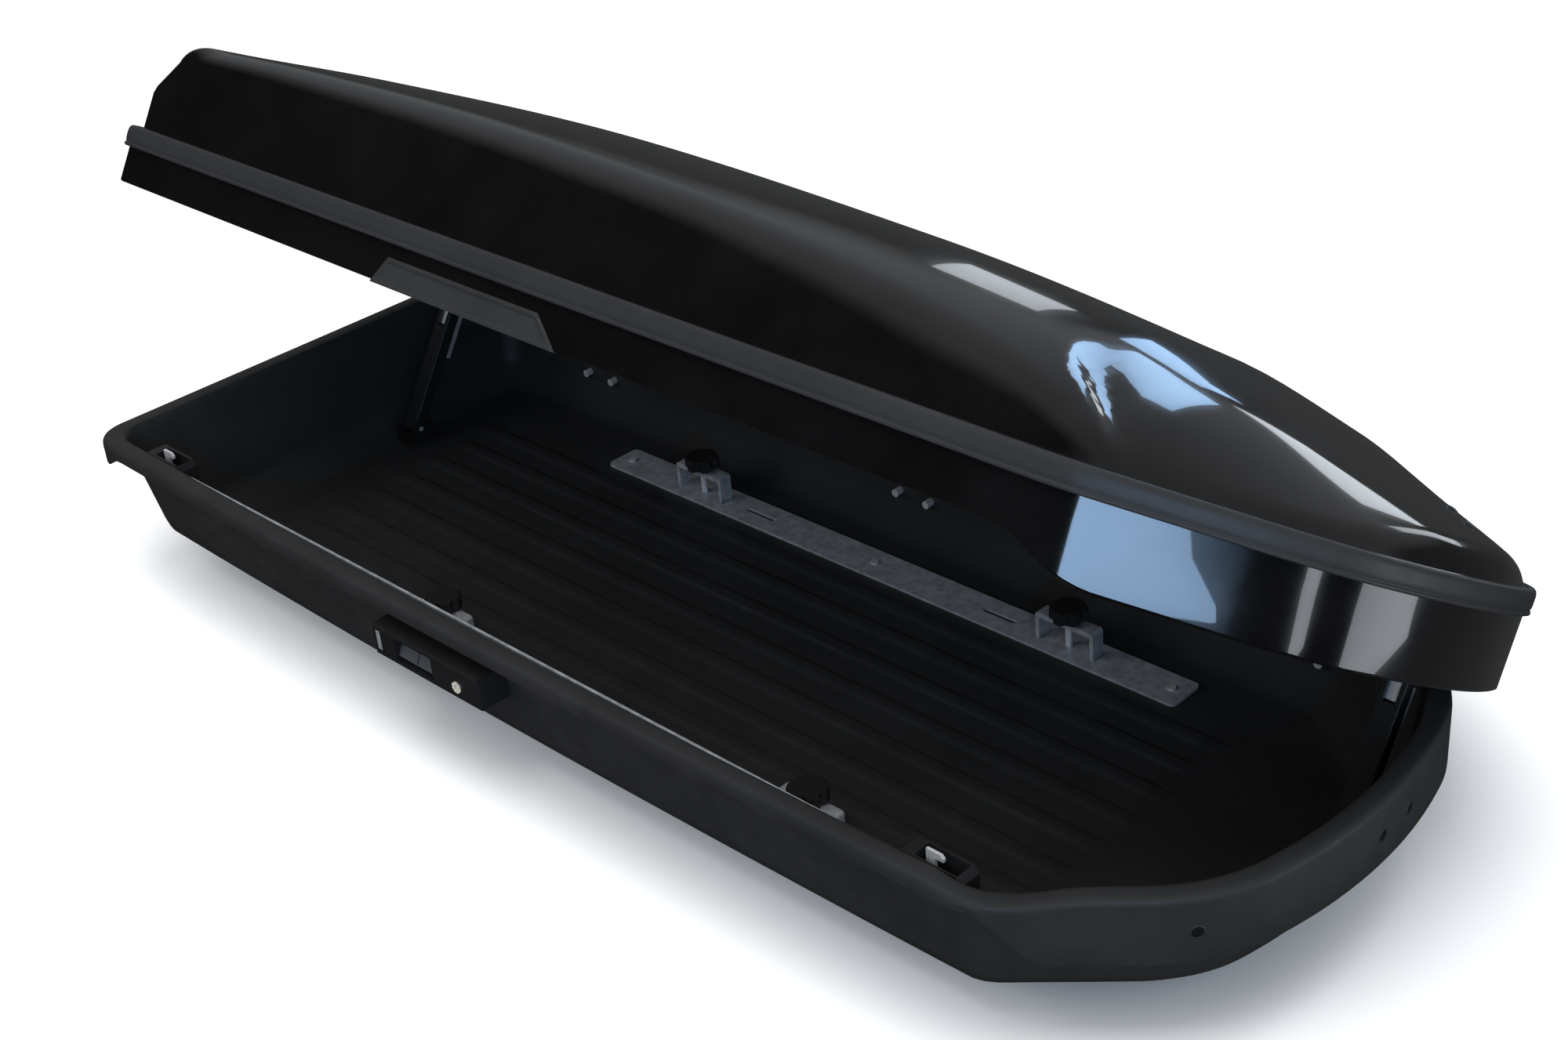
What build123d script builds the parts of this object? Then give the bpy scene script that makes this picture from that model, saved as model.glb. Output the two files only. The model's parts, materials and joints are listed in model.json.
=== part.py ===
from build123d import *
import math
import os

# Roof cargo box, millimetres. X runs along the box towards its nose, Y across it towards
# the hinge side and Z up. The origin is the middle of the tray's underside. Parts of the
# lid are drawn with the lid shut and then swung open about the hinge pins.

# Lid outline, seen from above
LENGTH = 1971.0            # tail to nose tip
WIDTH = 858.0              # across the ends of the two long sides
SIDE_BOW = 11.0            # how far a long side bulges at its middle
NOSE_LENGTH = 258.0        # from the end of the long side to the nose tip
NOSE_FRONT_HALF = 253.0    # half the width of the blunt front
NOSE_FRONT_DEPTH = 49.0    # how far the blunt front bulges
TAIL_CORNER_R = 34.0
NOSE_CORNER_R = 90.0
NOSE_SHOULDER_R = 320.0
MIN_CORNER_R = 6.0

# Lid heights, lid shut
SKIRT_Z = 124.0            # lower edge of the long sides and tail
NOSE_SKIRT_Z = 86.0        # lower edge round the nose
SKIRT_STEP_BACK = 62.0     # where the edge steps down, back from and past the side's end
SKIRT_STEP_RUN = 110.0
BAND_LOW = 175.0
BAND_HIGH = 206.0
BAND_PROUD = 7.0
BODY_INSET = 10.0          # upper body, in from the skirt
LID_WALL = 3.0
TAIL_TOP_Z = 350.0
TAIL_LEAN = 26.0           # how far the tail leans in over its height
CROWN_Z = 402.0            # highest line of the lid
CROWN_BACK = 300.0         # highest point, behind mid length
NOSE_BREAK_Z = 354.0       # where the roof turns down to the nose
NOSE_BREAK_BACK = 430.0    # that point, back from the nose tip
NOSE_TOP_Z = 226.0
ROOF_EDGE_Z = 352.0        # height of the roof's rounded edge at the crown
ROOF_EDGE_IN = 42.0        # that edge, in from the skirt
ROOF_EDGE_R = 60.0

# Lid opening
HINGE_Z = 50.0
HINGE_IN = 15.0            # hinge line, in from the lid's nominal side
OPEN_ANGLE = 31.4

# Tray
TRAY_WALL = 3.5
RIM_INSET = 23.5           # rim, in from the lid's skirt
RIM_TAIL_INSET = 13.5      # the same at the tail
RIM_Z = 193.0
NOSE_RIM_Z = 183.0
RIM_LIP = 22.0             # turned-down edge of the long sides
TAIL_LIP = 40.0
NOSE_FLANGE_Z = 100.0      # lower edge of the tall flange round the nose
NOSE_FLANGE_PAST = 22.0    # flange starts this far past the end of the long side
RIM_WIDTH = 25.0           # wall top, in from the rim's edge
KNUCKLE_Z = 36.0           # where the walls turn under
KNUCKLE_INSET = 75.0
FLOOR_INSET = 112.0
TRAY_CORNER_R = 30.0
FLANGE_HOLE_R = 7.0
FLANGE_HOLE_Z = 140.0
FLANGE_HOLES_Y = (-245.0, 5.0, 64.0, 245.0)

# Floor rails and roof-bar clamps
RAIL_Y = 250.0
RAIL_WIDTH = 60.0
RAIL_T = 4.0
RAIL_LENGTH = 1080.0
CLAMP_X = 350.0            # clamps stand this far each way from mid length
STIRRUP_REACH = 45.0       # clamp centre to the middle of a stirrup leg
STIRRUP_T = 6.0
STIRRUP_WIDTH = 22.0
BAR_GAP = 23.0             # from the pad down to the stirrup, clamp tight
PAD_T = 5.0
PAD_HALF = (37.0, 28.0)
BRIDGE_Z = (40.0, 48.0)
KNOB_R = 26.0
KNOB_HEIGHT = 17.0
KNOB_LOBES = 6
KNOB_OVER_BRIDGE = 4.0
SPINDLE_R = 5.0
ADAPTER_X = 230.0          # slots for other roof-bar adapters, each way from mid length
ADAPTER_SLOT = (60.0, 8.5)
LEG_SLOT_ROOM = 2.0

# Latches
LATCH_FROM_TAIL = 164.5
LATCH_FROM_SIDE_END = 72.5
LATCH_LENGTH = 92.0
LATCH_IN = 66.0            # hook plane, in from the lid's nominal side
LATCH_LOW = 148.0
LATCH_TOP = 188.0
HOOK_T = 4.0
HOOK_TRAVEL = 20.0
ROD_Z = 160.0
ROD_HEIGHT = 12.0
STRIKER_PIN_Z = 181.0
STRIKER_PIN_R = 3.0
STRIKER_GAP = 5.0
STRIKER_T = 2.5
STRIKER_ARM_T = 5.0
HOOK_TOP = 194.0
HOOK_OVER_PIN = 2.0

# Lock
LOCK_X = (-257.0, -40.0)
LOCK_Z = (104.0, 150.0)
LOCK_FACE_IN = 4.0         # lock face, in from the lid's nominal side
LOCK_POCKET_X = (-212.0, -135.0)
LOCK_POCKET_Z = (110.0, 144.0)
LEVER_T = 3.0
LEVER_DEEP = 15.0
LEVER_SWING = 24.0
LEVER_PIN_R = 2.0
KEY_X = -85.0
KEY_Z = 122.0
KEY_R = 8.0
KEY_DEEP = 22.0
REFLECTOR_X = (-250.0, -241.0)
REFLECTOR_Z = (114.0, 143.0)
LOCK_SCREWS_X = (-234.0, -112.0, -56.0)
SCREW_R = 2.5
BOLT_R = 3.0
BOLT_HEAD = 2.5
RIVET_R = 4.0
RIVET_HEAD = 2.5
RIVETS = ((74.0, 82.0), (110.0, 108.0))   # back from the nose tip, and Y

# Grip on the lid's near edge
GRIP_LOW_X = (-345.0, 16.0)
GRIP_HIGH_X = (-322.0, -30.0)
GRIP_HIGH_Z = 158.0
GRIP_PROUD = 3.0
GRIP_PULL = 8.0

# Hinges
HINGE_FROM_TAIL = 285.5
HINGE_MIDDLE_X = -20.0
HINGE_FROM_SIDE_END = 87.5
HINGE_PIN_R = 4.0
HINGE_EYE_R = 9.0
HINGE_STAND_OFF = 20.0     # from the eyes back to the bracket's face
HINGE_ARM_WIDTH = 36.0
HINGE_EAR_T = 5.0
HINGE_PLATE = (5.0, 10.0)  # arm plate, out from the pin's axis

# Lid lifters
LIFTER_FROM_NOSE = 120.5
LIFTER_FROM_TAIL = 120.5
LIFTER_FOOT = (88.4, 30.0)     # Y and Z of the lower pin
LIFTER_HEAD_SHUT = (154.8, 232.0)
SLEEVE_LENGTH = 200.0
SLEEVE_WIDTH = 30.0
SLEEVE_DEPTH = 20.0
SLEEVE_WALL = 2.5
SLEEVE_FLOOR = 14.0
CHANNEL_WIDTH = 26.0
CHANNEL_T = 2.0
SLIDER_LENGTH = 196.0
SLIDER_T = 6.0
LIFTER_PIN_R = 4.0
LIFTER_EYE_R = 9.0
LIFTER_CHEEK = 4.0
HEAD_PLAY = 4.0            # lost motion at the lifter's head, along the lifter
HEAD_ROOM = 1.2            # room round the upper pin
BRACKET_SEAT = 0.1

# Lid stiffeners
STIFF_Z = (178.0, 198.0)
STIFF_DEEP = 10.0
STIFF_WALL = 2.0
STIFF_FROM_TAIL = 120.0
STIFF_TO_NOSE_SIDE = 90.0

# Fits
RUNNING = 0.05
GAP = 0.5

# Smaller sizes of the sub-parts
MARGIN = 50.0              # how far cutting shapes reach past the box
ROOF_START_SLOPE = 0.16    # the roof's slope at the tail and, falling, at the nose
STEP_LAP = 10.0            # how far the upper body reaches down into the band
RAIL_CORNER_R = 8.0
RAIL_BOLT_END = 25.0       # outer bolts, in from the rail's ends
PAD_CORNER_R = 6.0
STIRRUP_CORNER_R = 5.0
STIRRUP_INNER_R = 3.0
KNOB_CHAMFER = 2.5
KNOB_LOBE_OUT = 5.0        # centre of a lobe's hollow, past the knob's radius
KNOB_LOBE_R = 9.0
KNOB_CAP = 5.0             # knob above the spindle's end
HOUSING_BACK = 8.0         # latch housing behind the striker
HOUSING_CHAMFER = 9.0
HOUSING_ROOM = 4.0
HOUSING_FLOOR = 5.0
MOUTH_REAR = 20.0
MOUTH_FRONT = 18.0
ROD_END = 15.0             # latch rod past the last hook
TAB_HALF = 8.0             # half the width of the rod's tab to the lock
TAB_Z = (124.0, 130.0)
TAB_REACH = 4.0
TAB_ROOM = 3.0
TAB_WALL_CUT = 6.0
HOOK_HALF = 12.0
HOOK_CHAMFER = 4.0
STRIKER_FORWARD = 22.0     # striker's pin ahead of its hook's middle
STRIKER_ARM_HALF = 12.0
STRIKER_CHEEK_HALF = 7.0
STRIKER_CHEEK_EDGE = 3.0
LOCK_EDGE_R = 3.0
LEVER_PIN_REACH = 4.0
LEVER_PIN_DROP = 5.0
LEVER_FOOT = 3.0
LEVER_KNUCKLE_R = 3.0
KEY_PROUD = 1.5
KEYWAY = (5.0, 8.0)        # half height and depth
REFLECTOR_SINK = 0.2
LOCK_SCREW_UP = 8.0        # screws above the key
LOCK_SCREW_DEEP = 8.0
LOCK_SCREW_BACK = 12.0
SCREW_HEAD = 3.0
HINGE_BACK_WING = 12.0
HINGE_BACK_Z = (-18.0, 26.0)   # bracket's back, from the pin's height
HINGE_EAR_BACK = 12.0
HINGE_EAR_FRONT = 20.0
HINGE_PAD_UP = 8.0
HINGE_SCREW_OUT = 6.0
HINGE_SCREW_UP = 8.0
HINGE_SCREW_IN = 12.0
FOOT_HALF = 22.0
FOOT_CUT_HALF = 30.0
FOOT_EYE_R = 12.0
SLEEVE_START = 12.0
SLEEVE_NECK = 16.0
WINDOW_HALF = 8.0
WINDOW_LENGTH = 30.0
CHANNEL_DEPTH = 9.0
CHANNEL_ENDS = (26.0, 6.0)
CHANNEL_SLOTS = (60.0, 118.0)
CHANNEL_SLOT = (26.0, 8.0)
BRACKET_HALF = 14.0
BRACKET_EYE_R = 12.0
BRACKET_CUT_HALF = 20.0
BRACKET_ROOF = 8.0
BRACKET_ARM_Z = (-8.0, 40.0)   # arm to the tail, from the head pin's height

# Places worked out from the sizes above
TAIL_X = -LENGTH / 2
NOSE_X = LENGTH / 2
SIDE_END_X = NOSE_X - NOSE_LENGTH
HINGE_Y = WIDTH / 2 - HINGE_IN
LATCH_Y = -(WIDTH / 2 - LATCH_IN)
LOCK_Y = -(WIDTH / 2 - LOCK_FACE_IN)
FLOOR_TOP = TRAY_WALL
RAIL_TOP = FLOOR_TOP + RAIL_T
STIRRUP_LOW = -PAD_T - BAR_GAP - STIRRUP_T
KNOB_LOW = BRIDGE_Z[1] + KNOB_OVER_BRIDGE
SPINDLE_TOP = KNOB_LOW + KNOB_HEIGHT - KNOB_CAP
LIFTER_FRONT_X = NOSE_X - LIFTER_FROM_NOSE
LIFTER_REAR_X = TAIL_X + LIFTER_FROM_TAIL
LATCH_REAR_X = TAIL_X + LATCH_FROM_TAIL
LATCH_FRONT_X = SIDE_END_X - LATCH_FROM_SIDE_END
HINGE_X = (TAIL_X + HINGE_FROM_TAIL, HINGE_MIDDLE_X, SIDE_END_X - HINGE_FROM_SIDE_END)
HIGH = CROWN_Z + 100.0


def block(x, y, z):
    """Box between the pairs x, y and z, given in either order."""
    size = [abs(pair[1] - pair[0]) for pair in (x, y, z)]
    middle = [(pair[0] + pair[1]) / 2 for pair in (x, y, z)]
    return Pos(*middle) * Box(*size)


def rod(start, end, radius):
    """Cylinder of the given radius from start to end."""
    way = Vector(*end) - Vector(*start)
    plane = Plane(origin=start, z_dir=way)
    return plane * Cylinder(radius, way.length, align=(Align.CENTER, Align.CENTER, Align.MIN))


def solid_of(shape):
    """The largest solid of a shape."""
    return max(shape.solids(), key=lambda solid: solid.volume)


def swing(shape):
    """Turns a part of the shut lid to its open place."""
    axis = Axis((0, HINGE_Y, HINGE_Z), (1, 0, 0))
    return shape.rotate(axis, -OPEN_ANGLE)


def moved_in(corner, first, second, inset):
    """Corner between two sides with outward directions first and second, moved inwards."""
    share = inset / (1 + first[0] * second[0] + first[1] * second[1])
    return (corner[0] - share * (first[0] + second[0]), corner[1] - share * (first[1] + second[1]))


def plan(inset, tail_inset, tail_radius):
    """Outline seen from above, moved in from the lid's skirt, as a face at height 0."""
    side_end = (SIDE_END_X, WIDTH / 2)
    shoulder = (NOSE_X - NOSE_FRONT_DEPTH, NOSE_FRONT_HALF)
    flank = math.atan2(side_end[1] - shoulder[1], shoulder[0] - side_end[0])
    flank_out = (math.sin(flank), math.cos(flank))
    front = 2 * math.atan2(NOSE_FRONT_DEPTH, NOSE_FRONT_HALF)
    front_out = (math.cos(front), math.sin(front))
    side_end = moved_in(side_end, (0, 1), flank_out, inset)
    shoulder = moved_in(shoulder, flank_out, front_out, inset)
    tail = (TAIL_X + tail_inset, WIDTH / 2 - inset)
    middle = ((tail[0] + side_end[0]) / 2, WIDTH / 2 + SIDE_BOW - inset)

    def near(point):
        return (point[0], -point[1])

    edges = [
        Line(tail, near(tail)),
        ThreePointArc(near(tail), near(middle), near(side_end)),
        Line(near(side_end), near(shoulder)),
        ThreePointArc(near(shoulder), (NOSE_X - inset, 0), shoulder),
        Line(shoulder, side_end),
        ThreePointArc(side_end, middle, tail),
    ]
    face = make_face(edges)
    for point, radius in (
        (tail, tail_radius),
        (side_end, max(NOSE_CORNER_R - inset, MIN_CORNER_R)),
        (shoulder, NOSE_SHOULDER_R - inset),
    ):
        corners = [v for v in face.vertices() if abs(abs(v.Y) - point[1]) < 0.01
                   and abs(v.X - point[0]) < 0.01]
        face = fillet(corners, radius)
    return face.face() if hasattr(face, "face") else face


def lid_plan(inset):
    """Lid outline moved in evenly."""
    return plan(inset, inset, max(TAIL_CORNER_R - inset, MIN_CORNER_R))


def tray_plan(inset, radius=TRAY_CORNER_R):
    """Tray outline, whose tail lies closer to the lid's than its sides do."""
    return plan(inset, inset - RIM_INSET + RIM_TAIL_INSET, radius)


def prism(face, low, high):
    """Upright solid on a plan outline."""
    return extrude(Pos(0, 0, low) * face, high - low)


def across(points, half_width):
    """Solid of an outline drawn in X and Z, as wide as asked on both sides."""
    outline = Plane.XZ * make_face(Polyline(*points, close=True))
    return extrude(outline, half_width, both=True)


def roof_line(drop):
    """The lid's roof and tail seen from the side, lowered by drop, down to its skirt."""
    tail_low = (TAIL_X + drop, BAND_HIGH)
    tail_top = (TAIL_X + TAIL_LEAN + drop, TAIL_TOP_Z - drop)
    crown = (-CROWN_BACK, CROWN_Z - drop)
    turn = (NOSE_X - NOSE_BREAK_BACK, NOSE_BREAK_Z - drop)
    nose = (NOSE_X + 1, NOSE_TOP_Z - drop)
    under = 2 * NOSE_SKIRT_Z - BAND_HIGH
    edges = [
        Line(tail_low, tail_top),
        Spline([tail_top, crown, turn, nose], tangents=[(1, ROOF_START_SLOPE), (1, -ROOF_START_SLOPE)]),
        Line(nose, (nose[0], under)),
        Line((nose[0], under), (tail_low[0], under)),
        Line((tail_low[0], under), tail_low),
    ]
    return extrude(Plane.XZ * make_face(edges), WIDTH, both=True)


def roof_section(drop):
    """The lid's cross-section, lowered by drop, as a solid the length of the box."""
    half = WIDTH / 2 + SIDE_BOW - drop
    edge = (half - ROOF_EDGE_IN, ROOF_EDGE_Z - drop)
    top = CROWN_Z - drop
    low = 2 * NOSE_SKIRT_Z - BAND_HIGH
    edges = [
        Line((-half, low), (half, low)),
        Line((half, low), (half, BAND_HIGH)),
        Line((half, BAND_HIGH), edge),
        ThreePointArc(edge, (0, top), (-edge[0], edge[1])),
        Line((-edge[0], edge[1]), (-half, BAND_HIGH)),
        Line((-half, BAND_HIGH), (-half, low)),
    ]
    face = make_face(edges)
    corners = [v for v in face.vertices() if abs(v.Y - edge[1]) < 0.01]
    face = fillet(corners, ROOF_EDGE_R - drop)
    return extrude(Plane.YZ * face, LENGTH, both=True)


def under_skirt():
    """Everything below the lid's lower edge, which steps down towards the nose."""
    step = SIDE_END_X - SKIRT_STEP_BACK
    run = step + SKIRT_STEP_RUN
    low = NOSE_SKIRT_Z - 4 * MARGIN
    edges = [
        Line((TAIL_X - MARGIN, SKIRT_Z), (step, SKIRT_Z)),
        Spline([(step, SKIRT_Z), (run, NOSE_SKIRT_Z)], tangents=[(1, 0), (1, 0)]),
        Line((run, NOSE_SKIRT_Z), (NOSE_X + MARGIN, NOSE_SKIRT_Z)),
        Line((NOSE_X + MARGIN, NOSE_SKIRT_Z), (NOSE_X + MARGIN, low)),
        Line((NOSE_X + MARGIN, low), (TAIL_X - MARGIN, low)),
        Line((TAIL_X - MARGIN, low), (TAIL_X - MARGIN, SKIRT_Z)),
    ]
    return extrude(Plane.XZ * make_face(edges), WIDTH, both=True)


def lid_body(drop):
    """The lid as if it were solid, with all its faces moved in by drop."""
    low = NOSE_SKIRT_Z - MARGIN * (drop > 0)
    skirt = prism(lid_plan(drop), low, BAND_HIGH - drop)
    body = prism(lid_plan(BODY_INSET + drop), BAND_HIGH - STEP_LAP, HIGH)
    body = body & roof_line(drop)
    body = body & roof_section(drop)
    return solid_of(skirt + body)


def tray_block(drop):
    """The tray as if it were solid, with all its faces moved in by drop."""
    wall_top = RIM_INSET + RIM_WIDTH
    sections = (
        (drop, FLOOR_INSET + drop),
        (KNUCKLE_Z, KNUCKLE_INSET + drop),
        (RIM_Z, wall_top + drop),
    )
    faces = [Pos(0, 0, z) * tray_plan(inset) for z, inset in sections]
    return solid_of(loft(faces, ruled=True))


def over_rim():
    """Everything above the tray's rim, which dips a little round the nose."""
    step = SIDE_END_X
    edges = [
        Line((TAIL_X - MARGIN, RIM_Z), (step, RIM_Z)),
        Spline([(step, RIM_Z), (step + SKIRT_STEP_BACK, NOSE_RIM_Z)], tangents=[(1, 0), (1, 0)]),
        Line((step + SKIRT_STEP_BACK, NOSE_RIM_Z), (NOSE_X + MARGIN, NOSE_RIM_Z)),
        Line((NOSE_X + MARGIN, NOSE_RIM_Z), (NOSE_X + MARGIN, HIGH)),
        Line((NOSE_X + MARGIN, HIGH), (TAIL_X - MARGIN, HIGH)),
        Line((TAIL_X - MARGIN, HIGH), (TAIL_X - MARGIN, RIM_Z)),
    ]
    return extrude(Plane.XZ * make_face(edges), WIDTH, both=True)


def ring(outline, outer, inner, low, high):
    """Upright band between two insets of an outline."""
    return prism(outline(outer), low, high) - prism(outline(inner), low - 1, high + 1)


def rim():
    """Rim: a flat top turned down outside, tall round the nose and at the tail."""
    span = (-WIDTH, WIDTH)
    top_low = NOSE_RIM_Z - TRAY_WALL
    deck = ring(tray_plan, RIM_INSET, RIM_INSET + RIM_WIDTH + TRAY_WALL, RIM_Z - TRAY_WALL, RIM_Z)
    nose_deck = ring(tray_plan, RIM_INSET, RIM_INSET + RIM_WIDTH + TRAY_WALL, top_low, RIM_Z)
    flange_x = SIDE_END_X + NOSE_FLANGE_PAST
    deck = deck & block((TAIL_X - MARGIN, flange_x), span, (0, HIGH))
    nose_deck = nose_deck & block((flange_x - TRAY_WALL, NOSE_X + MARGIN), span, (0, HIGH))
    inner = RIM_INSET + TRAY_WALL
    lip = ring(tray_plan, RIM_INSET, inner, RIM_Z - RIM_LIP, RIM_Z)
    lip = lip & block((TAIL_X - MARGIN, flange_x), span, (0, HIGH))
    tail = ring(tray_plan, RIM_INSET, inner, RIM_Z - TAIL_LIP, RIM_Z)
    tail = tail & block((TAIL_X - MARGIN, TAIL_X + 2 * TAIL_LIP), span, (0, HIGH))
    flange = ring(tray_plan, RIM_INSET, inner, NOSE_FLANGE_Z, RIM_Z)
    flange = flange & block((flange_x, NOSE_X + MARGIN), span, (0, HIGH))
    web = ring(tray_plan, RIM_INSET, RIM_INSET + RIM_WIDTH + TRAY_WALL, NOSE_FLANGE_Z, RIM_Z)
    web = web & block((flange_x - TRAY_WALL, flange_x), span, (0, HIGH))
    return deck + nose_deck + lip + tail + flange + web


def base_tray(hull, space):
    """Tray shell with its rim, cut for the clamps, latches, lock and screws."""
    tray = hull - prism(tray_plan(FLOOR_INSET + TRAY_WALL), TRAY_WALL, KNUCKLE_Z) - space
    tray = tray + (rim() - space)
    tray = tray - over_rim()
    for x in (-CLAMP_X, CLAMP_X):
        for y in (-RAIL_Y, RAIL_Y):
            for leg in (x - STIRRUP_REACH, x + STIRRUP_REACH):
                tray = tray - leg_slot(leg, y, LEG_SLOT_ROOM)
    tray = tray - adapter_slots()
    for y in FLANGE_HOLES_Y:
        tray = tray - rod((0, y, FLANGE_HOLE_Z), (NOSE_X, y, FLANGE_HOLE_Z), FLANGE_HOLE_R)
    tray = tray - lock_link_slot()
    for x in LOCK_SCREWS_X:
        tray = tray - lock_screw_hole(x, SCREW_R)
    for x in hinge_screw_places():
        tray = tray - hinge_screw_shank(x)
    for place in rail_bolt_places():
        tray = tray - rod((*place, -1), (*place, RAIL_TOP), BOLT_R)
    return solid_of(tray)


def leg_slot(x, y, room):
    """Cutter for one stirrup leg, with room round the leg."""
    half_x = STIRRUP_T / 2 + room
    half_y = STIRRUP_WIDTH / 2 + room
    return block((x - half_x, x + half_x), (y - half_y, y + half_y), (-1, RAIL_TOP + 1))


def adapter_slots():
    """Cutter for the four slots that take other roof-bar adapters."""
    length, width = ADAPTER_SLOT
    slot = extrude(Pos(0, 0, -1) * SlotOverall(length, width), RAIL_TOP + 2)
    return [Pos(x, y, 0) * slot for x in (-ADAPTER_X, ADAPTER_X) for y in (-RAIL_Y, RAIL_Y)]


def floor_rail(side):
    """Steel strip on the tray's floor that spreads the clamps' load."""
    y = side * RAIL_Y
    strip = block((-RAIL_LENGTH / 2, RAIL_LENGTH / 2), (y - RAIL_WIDTH / 2, y + RAIL_WIDTH / 2),
                  (FLOOR_TOP, RAIL_TOP))
    strip = fillet(strip.edges().filter_by(Axis.Z), RAIL_CORNER_R)
    for x in (-CLAMP_X, CLAMP_X):
        for leg in (x - STIRRUP_REACH, x + STIRRUP_REACH):
            strip = strip - leg_slot(leg, y, LEG_SLOT_ROOM)
    for place in rail_bolt_places():
        strip = strip - rod((*place, 0), (*place, RAIL_TOP + 1), BOLT_R)
    return solid_of(strip - adapter_slots())


def bar_pads():
    """Rubber pads under the tray that sit on the roof bars."""
    pads = []
    for x in (-CLAMP_X, CLAMP_X):
        for y in (-RAIL_Y, RAIL_Y):
            pad = block((x - PAD_HALF[0], x + PAD_HALF[0]), (y - PAD_HALF[1], y + PAD_HALF[1]),
                        (-PAD_T, 0))
            pads.append(fillet(pad.edges().filter_by(Axis.Z), PAD_CORNER_R))
    return pads


def clamp_stirrup(x, y):
    """Stirrup that passes under the roof bar, with the nut bridge joining its legs."""
    reach = STIRRUP_REACH + STIRRUP_T / 2
    half = STIRRUP_WIDTH / 2
    stirrup = block((x - reach, x + reach), (y - half, y + half), (STIRRUP_LOW, BRIDGE_Z[1]))
    inner = STIRRUP_REACH - STIRRUP_T / 2
    bar_space = block((x - inner, x + inner), (y - half - 1, y + half + 1),
                      (STIRRUP_LOW + STIRRUP_T, BRIDGE_Z[0]))
    stirrup = fillet(stirrup.edges().filter_by(Axis.Y), STIRRUP_CORNER_R)
    bar_space = fillet(bar_space.edges().filter_by(Axis.Y), STIRRUP_INNER_R)
    bore = rod((x, y, BRIDGE_Z[0] - 1), (x, y, BRIDGE_Z[1] + 1), SPINDLE_R + RUNNING)
    return solid_of(stirrup - bar_space - bore)


def clamp_knob(x, y):
    """Lobed hand knob."""
    knob = Pos(x, y, KNOB_LOW) * Cylinder(KNOB_R, KNOB_HEIGHT,
                                          align=(Align.CENTER, Align.CENTER, Align.MIN))
    top = knob.edges().filter_by(GeomType.CIRCLE).group_by(Axis.Z)[-1]
    knob = chamfer(top, KNOB_CHAMFER)
    for turn in range(KNOB_LOBES):
        angle = 2 * math.pi * turn / KNOB_LOBES
        reach = KNOB_R + KNOB_LOBE_OUT
        at = (x + reach * math.cos(angle), y + reach * math.sin(angle))
        ends = ((*at, KNOB_LOW - 1), (*at, KNOB_LOW + KNOB_HEIGHT + 1))
        knob = knob - rod(*ends, KNOB_LOBE_R)
    return solid_of(knob - rod((x, y, KNOB_LOW - 1), (x, y, SPINDLE_TOP), SPINDLE_R))


def clamp_spindle(x, y):
    """Spindle through the nut bridge, pressing on the floor rail."""
    return rod((x, y, RAIL_TOP + GAP / 5), (x, y, SPINDLE_TOP), SPINDLE_R)


def latch_housing(x, space):
    """Guide for one hook and striker, fitted to the inside of the tray's near wall."""
    half = LATCH_LENGTH / 2
    deep = STRIKER_GAP + STRIKER_T + HOUSING_BACK
    outer = block((x - half, x + half), (LATCH_Y + deep, -WIDTH), (LATCH_LOW, LATCH_TOP))
    outer = outer & space
    slopes = [edge for edge in outer.edges().filter_by(Axis.Y) if edge.center().Z > LATCH_TOP - 1]
    outer = chamfer(slopes, HOUSING_CHAMFER)
    room = STRIKER_GAP + STRIKER_T + HOUSING_ROOM
    mouth = block((x - MOUTH_REAR, x + HOOK_TRAVEL + MOUTH_FRONT),
                  (LATCH_Y - room, LATCH_Y + room), (LATCH_LOW + HOUSING_FLOOR, LATCH_TOP + 1))
    rod_way = block((x - half - 1, x + half + 1), (LATCH_Y - HOOK_T, LATCH_Y + HOOK_T),
                    (ROD_Z - ROD_HEIGHT / 2 - 1, ROD_Z + ROD_HEIGHT / 2 + 1))
    return solid_of(outer - mouth - rod_way)


def latch_rod():
    """Flat steel rod joining both hooks, with a tab to the lock."""
    half = HOOK_T / 2
    across_y = (LATCH_Y - half, LATCH_Y + half)
    strip = block((LATCH_REAR_X - ROD_END, LATCH_FRONT_X + ROD_END), across_y,
                  (ROD_Z - ROD_HEIGHT / 2, ROD_Z + ROD_HEIGHT / 2))
    x = link_x()
    tab = (x - TAB_HALF, x + TAB_HALF)
    down = block(tab, across_y, (TAB_Z[0], ROD_Z))
    out = block(tab, (LATCH_Y + half, LOCK_Y + LEVER_DEEP + LEVER_T + TAB_REACH), TAB_Z)
    return solid_of(strip + down + out)


def latch_hook(x):
    """Hook that slides over the striker's pin."""
    half = HOOK_T / 2
    across_y = (LATCH_Y - half, LATCH_Y + half)
    neck = block((x - HOOK_HALF, x), across_y, (ROD_Z + ROD_HEIGHT / 2, HOOK_TOP))
    tip = block((x - HOOK_HALF, x + HOOK_HALF), across_y,
                (STRIKER_PIN_Z + STRIKER_PIN_R + HOOK_OVER_PIN, HOOK_TOP))
    hook = neck + tip
    nose = [edge for edge in hook.edges().filter_by(Axis.Y)
            if edge.center().X > x + HOOK_HALF - 1 and edge.center().Z > HOOK_TOP - 1]
    return solid_of(chamfer(nose, HOOK_CHAMFER))


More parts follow.
